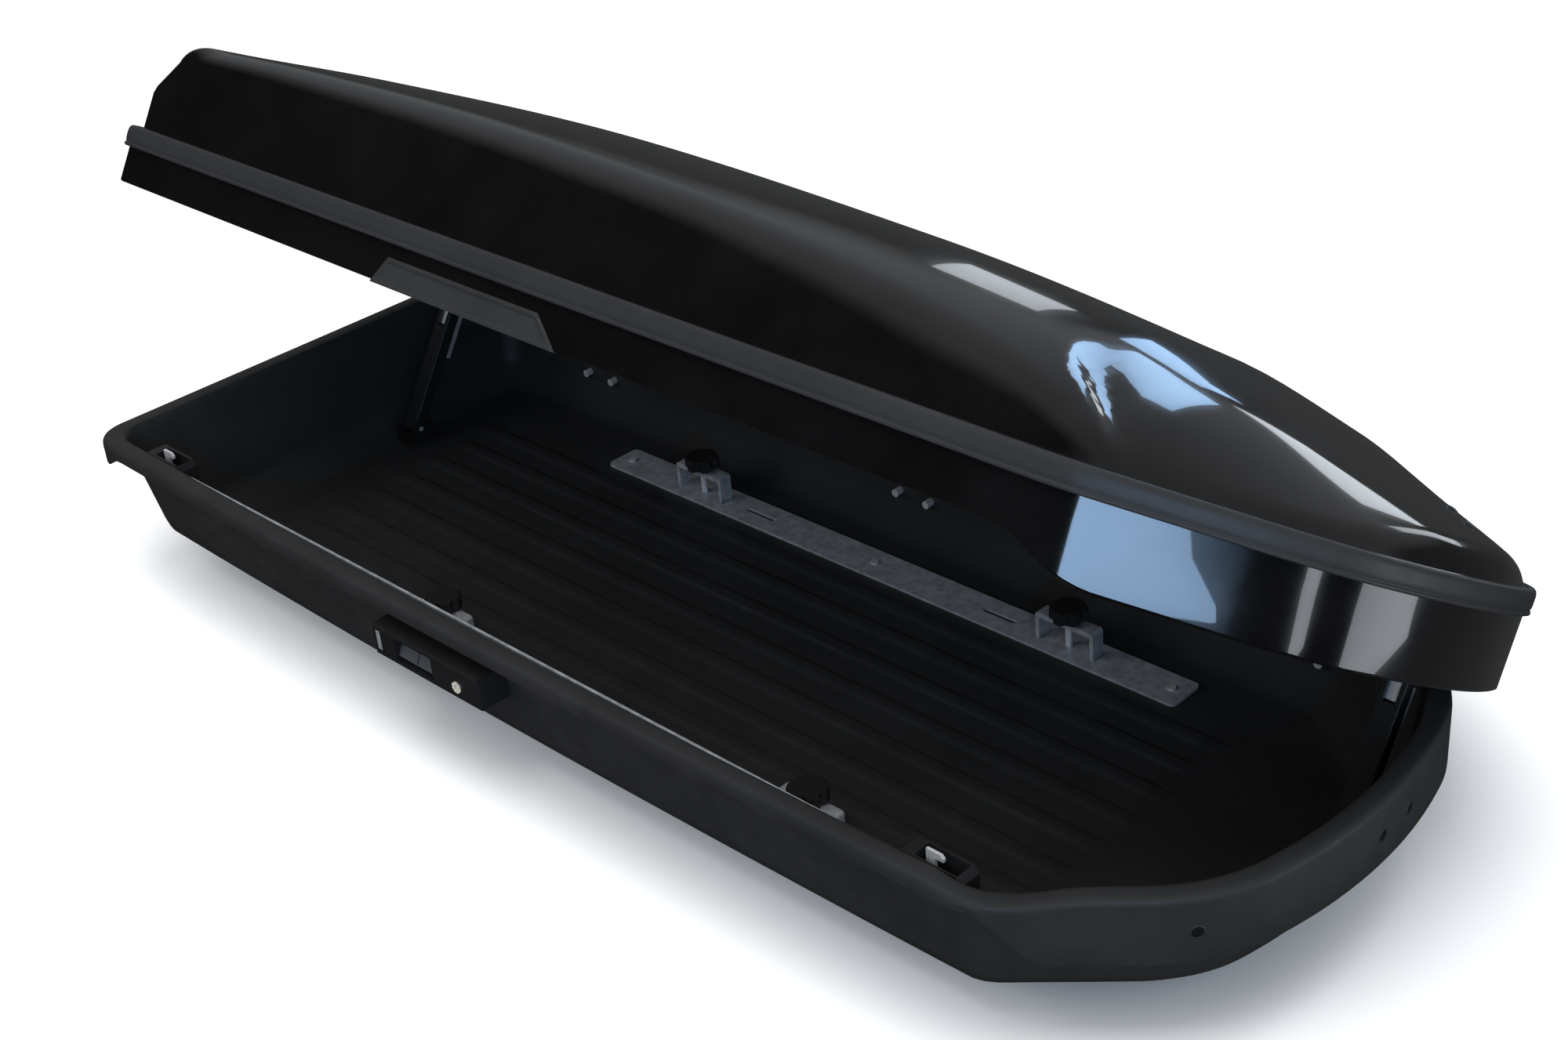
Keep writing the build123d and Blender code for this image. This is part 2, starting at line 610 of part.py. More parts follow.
def striker(x, lid_space):
    """Clevis and pin hung from the lid's near stiffener over the tray's rim."""
    pin_x = x + STRIKER_FORWARD
    arm_x = (pin_x - STRIKER_ARM_HALF, pin_x + STRIKER_ARM_HALF)
    cheek_x = (pin_x - STRIKER_CHEEK_HALF, pin_x + STRIKER_CHEEK_HALF)
    far = LATCH_Y + STRIKER_GAP + STRIKER_T
    low = STRIKER_PIN_Z - STRIKER_PIN_R - STRIKER_CHEEK_EDGE
    top = BAND_HIGH - LID_WALL
    under = top - STRIKER_ARM_T
    arm = block(arm_x, (-WIDTH, far), (under, top)) & lid_space
    foot = block(arm_x, (-WIDTH, far), (STIFF_Z[1], top))
    foot = foot & ring(lid_plan, LID_WALL, LID_WALL + STIFF_DEEP, 0, HIGH)
    clevis = arm + foot
    for side in (-1, 1):
        near = LATCH_Y + side * STRIKER_GAP
        cheek = block(cheek_x, (near, near + side * STRIKER_T), (low, under))
        clevis = clevis + cheek
    ends = (LATCH_Y - STRIKER_GAP, LATCH_Y + STRIKER_GAP)
    pin = rod((pin_x, ends[0], STRIKER_PIN_Z), (pin_x, ends[1], STRIKER_PIN_Z), STRIKER_PIN_R)
    return solid_of(clevis + pin)


def lock_housing(hull):
    """Lock casing fitted to the outside of the tray's near wall."""
    casing = block(LOCK_X, (LOCK_Y, 0), LOCK_Z) - hull
    casing = solid_of(casing)
    front = [edge for edge in casing.edges() if abs(edge.center().Y - LOCK_Y) < 0.01]
    casing = fillet(front, LOCK_EDGE_R)
    casing = casing - block(LOCK_POCKET_X, (LOCK_Y - 1, 0), LOCK_POCKET_Z)
    key_bore = ((KEY_X, LOCK_Y - 1, KEY_Z), (KEY_X, LOCK_Y + KEY_DEEP, KEY_Z))
    casing = casing - rod(*key_bore, KEY_R + RUNNING)
    casing = casing - block(REFLECTOR_X, (LOCK_Y - 1, LOCK_Y + 2), REFLECTOR_Z)
    pin = lever_pin()
    ends = (LOCK_POCKET_X[0] - LEVER_PIN_REACH, LOCK_POCKET_X[1] + LEVER_PIN_REACH)
    casing = casing - rod((ends[0] - GAP, *pin), (ends[1] + GAP, *pin), LEVER_PIN_R + RUNNING)
    for x in LOCK_SCREWS_X:
        casing = casing - lock_screw_hole(x, SCREW_R)
    return solid_of(casing)


def lever_pin():
    """Y and Z of the release lever's pivot."""
    return (LOCK_Y + LEVER_DEEP + LEVER_T / 2, LOCK_POCKET_Z[1] - LEVER_PIN_DROP)


def release_lever():
    """Finger plate in the lock's recess, swung out as it stands while the latches are open."""
    y, z = lever_pin()
    inner = (LOCK_POCKET_X[0] + GAP, LOCK_POCKET_X[1] - GAP)
    low = LOCK_POCKET_Z[0] + LEVER_FOOT
    plate = block(inner, (y - LEVER_T / 2, y + LEVER_T / 2), (low, z))
    knuckle = rod((inner[0], y, z), (inner[1], y, z), LEVER_KNUCKLE_R)
    ends = (LOCK_POCKET_X[0] - LEVER_PIN_REACH, LOCK_POCKET_X[1] + LEVER_PIN_REACH)
    pins = rod((ends[0], y, z), (ends[1], y, z), LEVER_PIN_R)
    middle = sum(inner) / 2
    rib = block((middle - 1, middle + 1), (y - LEVER_T / 2 - 2, y), (low, z - LEVER_KNUCKLE_R))
    lever = solid_of(plate + knuckle + pins + rib)
    return lever.rotate(Axis((0, y, z), (1, 0, 0)), -LEVER_SWING)


def key_barrel():
    """Cylinder of the key lock, with its keyway."""
    ends = ((KEY_X, LOCK_Y - KEY_PROUD, KEY_Z), (KEY_X, LOCK_Y + KEY_DEEP - 1, KEY_Z))
    barrel = rod(*ends, KEY_R)
    half, deep = KEYWAY
    keyway = block((KEY_X - 1, KEY_X + 1), (LOCK_Y - 2, LOCK_Y + deep), (KEY_Z - half, KEY_Z + half))
    return solid_of(barrel - keyway)


def reflector():
    """Flush bright strip at the lock's rear end."""
    return solid_of(block(REFLECTOR_X, (LOCK_Y + REFLECTOR_SINK, LOCK_Y + 2), REFLECTOR_Z))


def lock_screw_hole(x, radius):
    """Cutter or shank of one screw through the tray's wall into the lock casing."""
    z = KEY_Z + LOCK_SCREW_UP
    return rod((x, LOCK_Y + LOCK_SCREW_DEEP, z), (x, LATCH_Y - LOCK_SCREW_BACK, z), radius)


def lock_screws():
    """Screws that hold the lock casing from inside the tray."""
    screws = []
    head_y = LATCH_Y - LOCK_SCREW_BACK
    z = KEY_Z + LOCK_SCREW_UP
    for x in LOCK_SCREWS_X:
        head = rod((x, head_y, z), (x, head_y + SCREW_HEAD, z), 2 * SCREW_R)
        screws.append(solid_of(head + lock_screw_hole(x, SCREW_R)))
    return screws


def link_x():
    """Middle of the latch rod's tab."""
    return sum(LOCK_POCKET_X) / 2


def lock_link_slot():
    """Cutter through the tray's wall for the latch rod's tab."""
    x = link_x()
    half = TAB_HALF + TAB_ROOM
    return block((x - half, x + half + HOOK_TRAVEL), (LATCH_Y - TAB_WALL_CUT, -WIDTH / 2),
                 (TAB_Z[0] - TAB_ROOM, TAB_Z[1] + TAB_ROOM))


def lid_shell(lid, lid_space):
    """Lid skin: skirt, step and upper body in one piece."""
    shell = lid - lid_space - under_skirt()
    for place in rivet_places():
        shell = shell - rod((*place, NOSE_SKIRT_Z), (*place, HIGH), RIVET_R)
    return solid_of(shell)


def rivet_places():
    """X and Y of the rivets in the lid's nose."""
    return [(NOSE_X - back, y) for back, y in RIVETS]


def lid_band():
    """Trim strip round the lid over the joint of skirt and body."""
    return solid_of(ring(lid_plan, -BAND_PROUD, 0, BAND_LOW, BAND_HIGH))


def lid_stiffener(side):
    """Tube along one side of the lid, against the skirt."""
    x = (TAIL_X + STIFF_FROM_TAIL, SIDE_END_X - STIFF_TO_NOSE_SIDE)
    outer = ring(lid_plan, LID_WALL, LID_WALL + STIFF_DEEP, *STIFF_Z)
    bore = ring(lid_plan, LID_WALL + STIFF_WALL, LID_WALL + STIFF_DEEP - STIFF_WALL,
                STIFF_Z[0] + STIFF_WALL, STIFF_Z[1] - STIFF_WALL)
    return solid_of((outer - bore) & block(x, (0, side * WIDTH), (0, HIGH)))


def lid_grip():
    """Grip plate on the skirt's near edge, with a turned-in lower edge to pull on."""
    low_z = SKIRT_Z - GRIP_PROUD
    plate = ring(lid_plan, -GRIP_PROUD, 0, SKIRT_Z, GRIP_HIGH_Z)
    pull = ring(lid_plan, -GRIP_PROUD, GRIP_PULL, low_z, SKIRT_Z)
    outline = across([(GRIP_LOW_X[0], low_z), (GRIP_LOW_X[1], low_z), (GRIP_HIGH_X[1], GRIP_HIGH_Z),
                      (GRIP_HIGH_X[0], GRIP_HIGH_Z)], WIDTH)
    grip = (plate + pull) & outline & block((TAIL_X, NOSE_X), (0, -WIDTH), (0, HIGH))
    return solid_of(grip)


def hinge_bracket(x, hull):
    """Two ears on the far wall's outside that carry one hinge pin."""
    half = HINGE_ARM_WIDTH / 2 + GAP
    outer = half + HINGE_EAR_T
    wing = outer + HINGE_BACK_WING
    low, high = HINGE_BACK_Z
    back = block((x - wing, x + wing), (0, HINGE_Y - HINGE_EYE_R - HINGE_STAND_OFF),
                 (HINGE_Z + low, HINGE_Z + high))
    ears = block((x - outer, x + outer), (0, HINGE_Y), (HINGE_Z - HINGE_EYE_R, HINGE_Z + HINGE_EYE_R))
    ears = ears + rod((x - outer, HINGE_Y, HINGE_Z), (x + outer, HINGE_Y, HINGE_Z), HINGE_EYE_R)
    between = (HINGE_Y - HINGE_EYE_R - HINGE_EAR_BACK, HINGE_Y + HINGE_EAR_FRONT)
    ears = ears - block((x - half, x + half), between, (0, HIGH))
    bracket = back + ears - hull
    bore = rod((x - outer - 1, HINGE_Y, HINGE_Z), (x + outer + 1, HINGE_Y, HINGE_Z), HINGE_PIN_R)
    bracket = bracket - bore
    for place in hinge_screw_places():
        if abs(place - x) < HINGE_ARM_WIDTH + HINGE_EAR_T:
            bracket = bracket - hinge_screw_shank(place)
    return solid_of(bracket)


def hinge_pins():
    """Pins of the three hinges."""
    reach = HINGE_ARM_WIDTH / 2 + GAP + HINGE_EAR_T
    return [rod((x - reach, HINGE_Y, HINGE_Z), (x + reach, HINGE_Y, HINGE_Z), HINGE_PIN_R)
            for x in HINGE_X]


def hinge_arm(x, lid_space):
    """Arm from one hinge pin up to the inside of the lid's far skirt."""
    half = HINGE_ARM_WIDTH / 2
    eye = rod((x - half, HINGE_Y, HINGE_Z), (x + half, HINGE_Y, HINGE_Z), HINGE_EYE_R)
    plate = block((x - half, x + half), (HINGE_Y + HINGE_PLATE[0], HINGE_Y + HINGE_PLATE[1]),
                  (HINGE_Z, STIFF_Z[0] - 2))
    pad = block((x - half, x + half), (HINGE_Y + HINGE_PLATE[0], WIDTH),
                (SKIRT_Z + HINGE_PAD_UP, STIFF_Z[0] - 2))
    arm = eye + plate + (pad & lid_space)
    ends = ((x - half - 1, HINGE_Y, HINGE_Z), (x + half + 1, HINGE_Y, HINGE_Z))
    bore = rod(*ends, HINGE_PIN_R + RUNNING)
    return solid_of(arm - bore)


def lifter_plane(x):
    """Plane at the lifter's foot whose local Z runs up the open lifter to its head."""
    foot_y, foot_z = LIFTER_FOOT
    shut = (LIFTER_HEAD_SHUT[0] - HINGE_Y, LIFTER_HEAD_SHUT[1] - HINGE_Z)
    turn = math.radians(OPEN_ANGLE)
    head_y = HINGE_Y + shut[0] * math.cos(turn) + shut[1] * math.sin(turn)
    head_z = HINGE_Z - shut[0] * math.sin(turn) + shut[1] * math.cos(turn)
    way = Vector(0, head_y - foot_y, head_z - foot_z)
    return Plane(origin=(x, foot_y, foot_z), x_dir=(1, 0, 0), z_dir=way), way.length


def lifter_foot(x, space):
    """Foot on the tray's floor with a clevis for the lifter's lower pin."""
    foot_y, foot_z = LIFTER_FOOT
    half = SLEEVE_WIDTH / 2 + GAP
    cheek = half + LIFTER_CHEEK
    body = block((x - cheek, x + cheek), (foot_y - FOOT_HALF, foot_y + FOOT_HALF), (0, foot_z))
    body = body + rod((x - cheek, foot_y, foot_z), (x + cheek, foot_y, foot_z), FOOT_EYE_R)
    body = body - block((x - half, x + half), (foot_y - FOOT_CUT_HALF, foot_y + FOOT_CUT_HALF),
                        (foot_z - FOOT_HALF, HIGH))
    foot = body & block((x - cheek, x + cheek), (0, HINGE_Y), (FLOOR_TOP, HIGH)) & space
    pin = rod((x - cheek - 1, foot_y, foot_z), (x + cheek + 1, foot_y, foot_z), LIFTER_PIN_R)
    return solid_of(foot - pin)


def lifter_pin(x):
    """Lower pin of a lifter."""
    foot_y, foot_z = LIFTER_FOOT
    reach = SLEEVE_WIDTH / 2 + GAP + LIFTER_CHEEK
    return rod((x - reach, foot_y, foot_z), (x + reach, foot_y, foot_z), LIFTER_PIN_R)


def lifter_sleeve(x):
    """Sleeve that turns on the foot's pin and holds the slider."""
    plane, _ = lifter_plane(x)
    half_x, half_y = SLEEVE_WIDTH / 2, SLEEVE_DEPTH / 2
    body = block((-half_x, half_x), (-half_y, half_y), (SLEEVE_START, SLEEVE_LENGTH))
    eye = rod((-half_x, 0, 0), (half_x, 0, 0), LIFTER_EYE_R)
    neck = block((-half_x, half_x), (-LIFTER_EYE_R, LIFTER_EYE_R), (0, SLEEVE_NECK))
    inner = block((-half_x + SLEEVE_WALL, half_x - SLEEVE_WALL),
                  (-SLIDER_T / 2 - GAP, SLIDER_T / 2 + GAP), (SLEEVE_FLOOR, SLEEVE_LENGTH + 1))
    window = block((-WINDOW_HALF, WINDOW_HALF), (-half_y - 1, 0),
                   (SLEEVE_LENGTH - WINDOW_LENGTH, SLEEVE_LENGTH + 1))
    body = fillet(body.edges().filter_by(Axis.Z), 2)
    sleeve = body + eye + neck - inner - window
    bore = rod((-half_x - 1, 0, 0), (half_x + 1, 0, 0), LIFTER_PIN_R + RUNNING)
    return solid_of(plane * (sleeve - bore))


def lifter_channel(x):
    """Steel channel on the sleeve's hinge side, with its slots."""
    plane, _ = lifter_plane(x)
    y = SLEEVE_DEPTH / 2
    half = CHANNEL_WIDTH / 2
    channel = block((-half, half), (y, y + CHANNEL_DEPTH),
                    (CHANNEL_ENDS[0], SLEEVE_LENGTH - CHANNEL_ENDS[1]))
    inside = (-half + CHANNEL_T, half - CHANNEL_T)
    channel = channel - block(inside, (y + CHANNEL_T, y + CHANNEL_DEPTH + 1), (0, HIGH))
    slot = extrude(SlotOverall(*CHANNEL_SLOT), CHANNEL_WIDTH, both=True)
    for z in CHANNEL_SLOTS:
        channel = channel - Pos(0, y, z) * Rot(90, 90, 0) * slot
    return solid_of(plane * channel)


def lifter_slider(x):
    """Slide bar between the sleeve and the lid's bracket."""
    plane, length = lifter_plane(x)
    half = SLEEVE_WIDTH / 2 - SLEEVE_WALL - GAP / 2
    bar = block((-half, half), (-SLIDER_T / 2, SLIDER_T / 2), (length - SLIDER_LENGTH, length))
    eye = block((-half, half), (-LIFTER_EYE_R, LIFTER_EYE_R), (length, length + HEAD_PLAY))
    hole = LIFTER_PIN_R + HEAD_ROOM
    slot = block((-half - 1, half + 1), (-hole, hole), (length, length + HEAD_PLAY))
    for z in (length, length + HEAD_PLAY):
        eye = eye + rod((-half, 0, z), (half, 0, z), LIFTER_EYE_R)
        slot = slot + rod((-half - 1, 0, z), (half + 1, 0, z), hole)
    return solid_of(plane * (bar + eye - slot))


def lifter_bracket(x, lid_space, to_tail):
    """Bracket and upper pin that hang from the lid over a lifter."""
    head_y, head_z = LIFTER_HEAD_SHUT
    half = SLEEVE_WIDTH / 2 + 1
    cheek = half + LIFTER_CHEEK
    span = (head_y - BRACKET_HALF, head_y + BRACKET_HALF)
    up = block((x - cheek, x + cheek), span, (head_z, HIGH)) & lid_space
    up = up + rod((x - cheek, head_y, head_z), (x + cheek, head_y, head_z), BRACKET_EYE_R)
    top_gap = head_z + BRACKET_HALF
    cut = (head_y - BRACKET_CUT_HALF, head_y + BRACKET_CUT_HALF)
    up = up - block((x - half, x + half), cut, (0, top_gap))
    if to_tail:
        low, high = BRACKET_ARM_Z
        arm = block((TAIL_X, x - half), span, (head_z + low, head_z + high))
        up = up & block((x - cheek, x + cheek), (0, HINGE_Y), (0, top_gap + BRACKET_ROOF))
        up = up + (arm & lid_space)
    pin = rod((x - cheek, head_y, head_z), (x + cheek, head_y, head_z), LIFTER_PIN_R)
    return solid_of(up + pin)


def lid_rivet(place, lid, lid_space):
    """Rivet through the lid's nose that holds the front lifter's bracket."""
    shank = rod((*place, 0), (*place, HIGH), RIVET_R)
    head = rod((*place, 0), (*place, HIGH), 2 * RIVET_R) & lid_body(-RIVET_HEAD)
    return solid_of(head - lid + (shank & lid - lid_space))


def side_y(x, inset):
    """How far out the outline's side lies at x, when moved in by inset."""
    middle = (TAIL_X + SIDE_END_X) / 2
    share = (x - middle) / (SIDE_END_X - middle)
    return WIDTH / 2 - inset + SIDE_BOW * (1 - share ** 2)


def hinge_screw_places():
    """X of each screw that holds a hinge bracket to the far wall."""
    reach = HINGE_ARM_WIDTH / 2 + GAP + HINGE_EAR_T + HINGE_SCREW_OUT
    return [x + side * reach for x in HINGE_X for side in (-1, 1)]


def hinge_screw_shank(x):
    """Shank of one hinge screw, which is also the cutter for its hole."""
    back = HINGE_Y - HINGE_EYE_R - HINGE_STAND_OFF
    z = HINGE_Z + HINGE_SCREW_UP
    return rod((x, side_y(x, KNUCKLE_INSET + HINGE_SCREW_IN), z), (x, back, z), BOLT_R)


def hinge_screws(space):
    """Screws that hold the hinge brackets, with their heads inside the tray."""
    screws = []
    z = HINGE_Z + HINGE_SCREW_UP
    for x in hinge_screw_places():
        start = (x, side_y(x, KNUCKLE_INSET + HINGE_SCREW_IN), z)
        head = rod(start, (x, HINGE_Y, z), 2 * BOLT_R) & space
        screws.append(solid_of(head + hinge_screw_shank(x)))
    return screws


def rail_bolt_places():
    """X and Y of each bolt through the floor rails."""
    reach = RAIL_LENGTH / 2 - RAIL_BOLT_END
    return [(x, y) for x in (-reach, 0, reach) for y in (-RAIL_Y, RAIL_Y)]


def rail_bolt(x, y):
    """Bolt through the tray's floor and a floor rail, headed at both ends."""
    shank = rod((x, y, -BOLT_HEAD), (x, y, RAIL_TOP + BOLT_HEAD), BOLT_R)
    under = rod((x, y, -BOLT_HEAD), (x, y, 0), 2 * BOLT_R)
    over = rod((x, y, RAIL_TOP), (x, y, RAIL_TOP + BOLT_HEAD), 2 * BOLT_R)
    return solid_of(shank + under + over)


def write(name, shape):
    """Writes one node."""
    solids = shape if isinstance(shape, list) else [shape]
    solids = [solid for item in solids for solid in item.solids()]
    export_step(Compound(children=solids), f"parts/{name}.step")


def main():
    os.makedirs("parts", exist_ok=True)
    hull = tray_block(0)
    space = tray_block(TRAY_WALL)
    lid = lid_body(0)
    lid_space = lid_body(LID_WALL)
    bracket_seat = lid_body(LID_WALL + BRACKET_SEAT)
    write("base_tray", base_tray(hull, space))
    write("floor_rail_near", floor_rail(-1))
    write("floor_rail_far", floor_rail(1))
    write("bar_pads", bar_pads())
    for x, end in ((-CLAMP_X, "rear"), (CLAMP_X, "front")):
        for y, side in ((-RAIL_Y, "near"), (RAIL_Y, "far")):
            write(f"clamp_stirrup_{end}_{side}", clamp_stirrup(x, y))
            write(f"clamp_knob_{end}_{side}", clamp_knob(x, y))
            write(f"clamp_spindle_{end}_{side}", clamp_spindle(x, y))
    for x, end in ((LATCH_REAR_X, "rear"), (LATCH_FRONT_X, "front")):
        write(f"latch_housing_{end}", latch_housing(x, space))
        write(f"latch_hook_{end}", latch_hook(x))
        write(f"striker_{end}", swing(striker(x, lid_space)))
    write("latch_rod", latch_rod())
    write("lock_housing", lock_housing(hull))
    write("release_lever", release_lever())
    write("key_barrel", key_barrel())
    write("reflector", reflector())
    write("lock_screws", lock_screws())
    write("lid_shell", swing(lid_shell(lid, lid_space)))
    write("lid_band", swing(lid_band()))
    write("lid_stiffener_near", swing(lid_stiffener(-1)))
    write("lid_stiffener_far", swing(lid_stiffener(1)))
    write("lid_grip", swing(lid_grip()))
    for x, place in zip(HINGE_X, ("rear", "middle", "front")):
        write(f"hinge_bracket_{place}", hinge_bracket(x, hull))
        write(f"hinge_arm_{place}", swing(hinge_arm(x, lid_space)))
    write("hinge_pins", hinge_pins())
    write("hinge_screws", hinge_screws(space))
    write("rail_bolts", [rail_bolt(*place) for place in rail_bolt_places()])
    write("lid_rivets", [swing(lid_rivet(place, lid, lid_space)) for place in rivet_places()])
    for x, end in ((LIFTER_REAR_X, "rear"), (LIFTER_FRONT_X, "front")):
        write(f"lifter_foot_{end}", lifter_foot(x, space))
        write(f"lifter_pin_{end}", lifter_pin(x))
        write(f"lifter_sleeve_{end}", lifter_sleeve(x))
        write(f"lifter_channel_{end}", lifter_channel(x))
        write(f"lifter_slider_{end}", lifter_slider(x))
        write(f"lifter_bracket_{end}", swing(lifter_bracket(x, bracket_seat, end == "rear")))


main()
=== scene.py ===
import json
import math

import bmesh
import bpy
import numpy as np
from mathutils import Matrix, Vector


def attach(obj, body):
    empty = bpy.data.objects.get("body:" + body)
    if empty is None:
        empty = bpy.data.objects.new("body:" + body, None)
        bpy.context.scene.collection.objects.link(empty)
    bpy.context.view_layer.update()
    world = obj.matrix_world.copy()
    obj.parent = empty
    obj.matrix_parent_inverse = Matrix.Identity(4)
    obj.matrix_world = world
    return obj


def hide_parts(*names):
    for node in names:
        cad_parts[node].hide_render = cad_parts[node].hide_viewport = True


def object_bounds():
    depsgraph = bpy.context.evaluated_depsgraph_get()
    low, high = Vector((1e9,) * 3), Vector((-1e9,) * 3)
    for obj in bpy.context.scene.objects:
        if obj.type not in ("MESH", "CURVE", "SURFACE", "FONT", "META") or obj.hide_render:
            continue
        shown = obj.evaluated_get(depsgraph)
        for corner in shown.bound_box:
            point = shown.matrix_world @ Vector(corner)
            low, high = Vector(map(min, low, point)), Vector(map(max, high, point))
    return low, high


# Roof cargo box, lid open. Shapes are worked out in millimetres with the lid shut and
# turned into metres when a mesh is made. Parts of the lid are swung open last.

MM = 0.001

# Sizes of the box, as in the CAD model
LENGTH = 1971.0
WIDTH = 858.0
SIDE_BOW = 11.0
NOSE_LENGTH = 258.0
FRONT_HALF = 253.0
FRONT_DEPTH = 49.0
TAIL_CORNER_R = 34.0
NOSE_CORNER_R = 90.0
NOSE_SHOULDER_R = 320.0
TRAY_CORNER_R = 30.0
SKIRT_Z = 124.0
NOSE_SKIRT_Z = 86.0
STEP_BACK = 62.0
STEP_RUN = 110.0
BAND_HIGH = 206.0
BODY_INSET = 10.0
LID_WALL = 3.0
TAIL_LEAN = 26.0
HINGE_Y = 414.0
HINGE_Z = 50.0
OPEN_ANGLE = math.radians(31.4)
RIM_INSET = 23.5
RIM_TAIL_INSET = 13.5
RIM_Z = 193.0
NOSE_RIM_Z = 183.0
RIM_LOW = 171.0
TAIL_RIM_LOW = 153.0
NOSE_FLANGE_LOW = 100.0
RIM_WIDTH = 25.0
TRAY_WALL = 3.5
KNUCKLE_Z = 36.0
KNUCKLE_INSET = 75.0
FLOOR_INSET = 112.0

TAIL_X = -LENGTH / 2
NOSE_X = LENGTH / 2
SIDE_END_X = NOSE_X - NOSE_LENGTH

# Sample counts along half of an outline
TAIL_STEPS = 10
CORNER_STEPS = 8
SIDE_STEPS = 90
BEND_STEPS = 10
FLANK_STEPS = 12
SHOULDER_STEPS = 14
FRONT_STEPS = 14
FAR_INSET = 60.0
DEEP_INSET = 130.0


def smooth(value):
    """Smooth step from 0 to 1 as value goes from 0 to 1."""
    value = min(max(value, 0.0), 1.0)
    return value * value * (3 - 2 * value)


def mix(first, second, share):
    """Value the given share of the way from first to second."""
    return first + (second - first) * share


def curve_through(knots, x):
    """Smooth height at x through (x, height) knots, with monotone slopes."""
    xs = [k[0] for k in knots]
    zs = [k[1] for k in knots]
    steps = [(zs[i + 1] - zs[i]) / (xs[i + 1] - xs[i]) for i in range(len(xs) - 1)]
    slopes = [steps[0]]
    for before, after in zip(steps, steps[1:]):
        same = before * after > 0
        slopes.append(2 * before * after / (before + after) if same else 0.0)
    slopes.append(steps[-1])
    x = min(max(x, xs[0]), xs[-1])
    i = max(j for j in range(len(steps)) if xs[j] <= x)
    run = xs[i + 1] - xs[i]
    t = (x - xs[i]) / run
    blend = t * t * (3 - 2 * t)
    ease = run * (t * (1 - t) ** 2 * slopes[i] - t * t * (1 - t) * slopes[i + 1])
    return zs[i] + (zs[i + 1] - zs[i]) * blend + ease


def bezier(points, t):
    """Point of a cubic Bezier curve."""
    a, b, c, d = points
    s = 1 - t
    return a * s ** 3 + b * 3 * s * s * t + c * 3 * s * t * t + d * t ** 3


def rounded(start, start_way, end, end_way, count):
    """Arc-like bend between two points, leaving along start_way and ending along end_way."""
    turn = math.acos(max(-1.0, min(1.0, float(start_way @ end_way))))
    chord = np.linalg.norm(end - start)
    radius = chord / (2 * math.sin(turn / 2))
    reach = 4 / 3 * math.tan(turn / 4) * radius
    points = (start, start + start_way * reach, end - end_way * reach, end)
    return [bezier(points, (i + 1) / count) for i in range(count)]


def moved_in(corner, first, second, inset):
    """Corner of an outline moved in by inset, from the ways its two sides face."""
    share = inset / (1 + float(first @ second))
    return corner - share * (first + second)


def half_outline(inset, tail_inset, tail_radius):
    """Outline from the tail's middle round one side to the nose tip, as X and Y pairs."""
    side_end = np.array((SIDE_END_X, WIDTH / 2))
    shoulder = np.array((NOSE_X - FRONT_DEPTH, FRONT_HALF))
    flank = math.atan2(side_end[1] - shoulder[1], shoulder[0] - side_end[0])
    flank_out = np.array((math.sin(flank), math.cos(flank)))
    front = 2 * math.atan2(FRONT_DEPTH, FRONT_HALF)
    front_out = np.array((math.cos(front), math.sin(front)))
    side_end = moved_in(side_end, np.array((0.0, 1.0)), flank_out, inset)
    shoulder = moved_in(shoulder, flank_out, front_out, inset)
    tail_x = TAIL_X + tail_inset
    side = WIDTH / 2 - inset
    middle = (tail_x + side_end[0]) / 2
    half_length = side_end[0] - middle

    def side_point(x):
        return np.array((x, side + SIDE_BOW * (1 - ((x - middle) / half_length) ** 2)))

    def side_way(x):
        way = np.array((1.0, -2 * SIDE_BOW * (x - middle) / half_length ** 2))
        return way / np.linalg.norm(way)

    points = [np.array((tail_x, 0.0))]
    first = side_point(tail_x + tail_radius)
    for i in range(TAIL_STEPS):
        points.append(np.array((tail_x, (first[1] - tail_radius) * (i + 1) / TAIL_STEPS)))
    points += rounded(points[-1], np.array((0.0, 1.0)), first, side_way(first[0]), CORNER_STEPS)
    bend = max(NOSE_CORNER_R - inset, 6.0) * math.tan(flank / 2)
    last_x = side_end[0] - bend
    for i in range(SIDE_STEPS):
        points.append(side_point(mix(first[0], last_x, (i + 1) / SIDE_STEPS)))
    flank_way = np.array((math.cos(flank), -math.sin(flank)))
    flank_start = side_end + flank_way * bend
    points += rounded(points[-1], side_way(last_x), flank_start, flank_way, BEND_STEPS)
    turn = math.pi / 2 - front - flank
    reach = (NOSE_SHOULDER_R - inset) * math.tan(turn / 2)
    flank_end = shoulder - flank_way * reach
    for i in range(FLANK_STEPS):
        points.append(mix(flank_start, flank_end, (i + 1) / FLANK_STEPS))
    tip_x = NOSE_X - inset
    depth = tip_x - shoulder[0]
    radius = (shoulder[1] ** 2 + depth ** 2) / (2 * depth)
    start_angle = math.asin(shoulder[1] / radius) - reach / radius

    def front_point(angle):
        return np.array((tip_x - radius + radius * math.cos(angle), radius * math.sin(angle)))

    front_way = np.array((math.sin(start_angle), -math.cos(start_angle)))
    points += rounded(flank_end, flank_way, front_point(start_angle), front_way, SHOULDER_STEPS)
    for i in range(FRONT_STEPS):
        points.append(front_point(start_angle * (1 - (i + 1) / FRONT_STEPS)))
    return np.array(points)


def loop(half):
    """Whole closed outline from its half, near side first."""
    near = half * np.array((1.0, -1.0))
    far = half[-2:0:-1]
    return np.vstack((near, far))


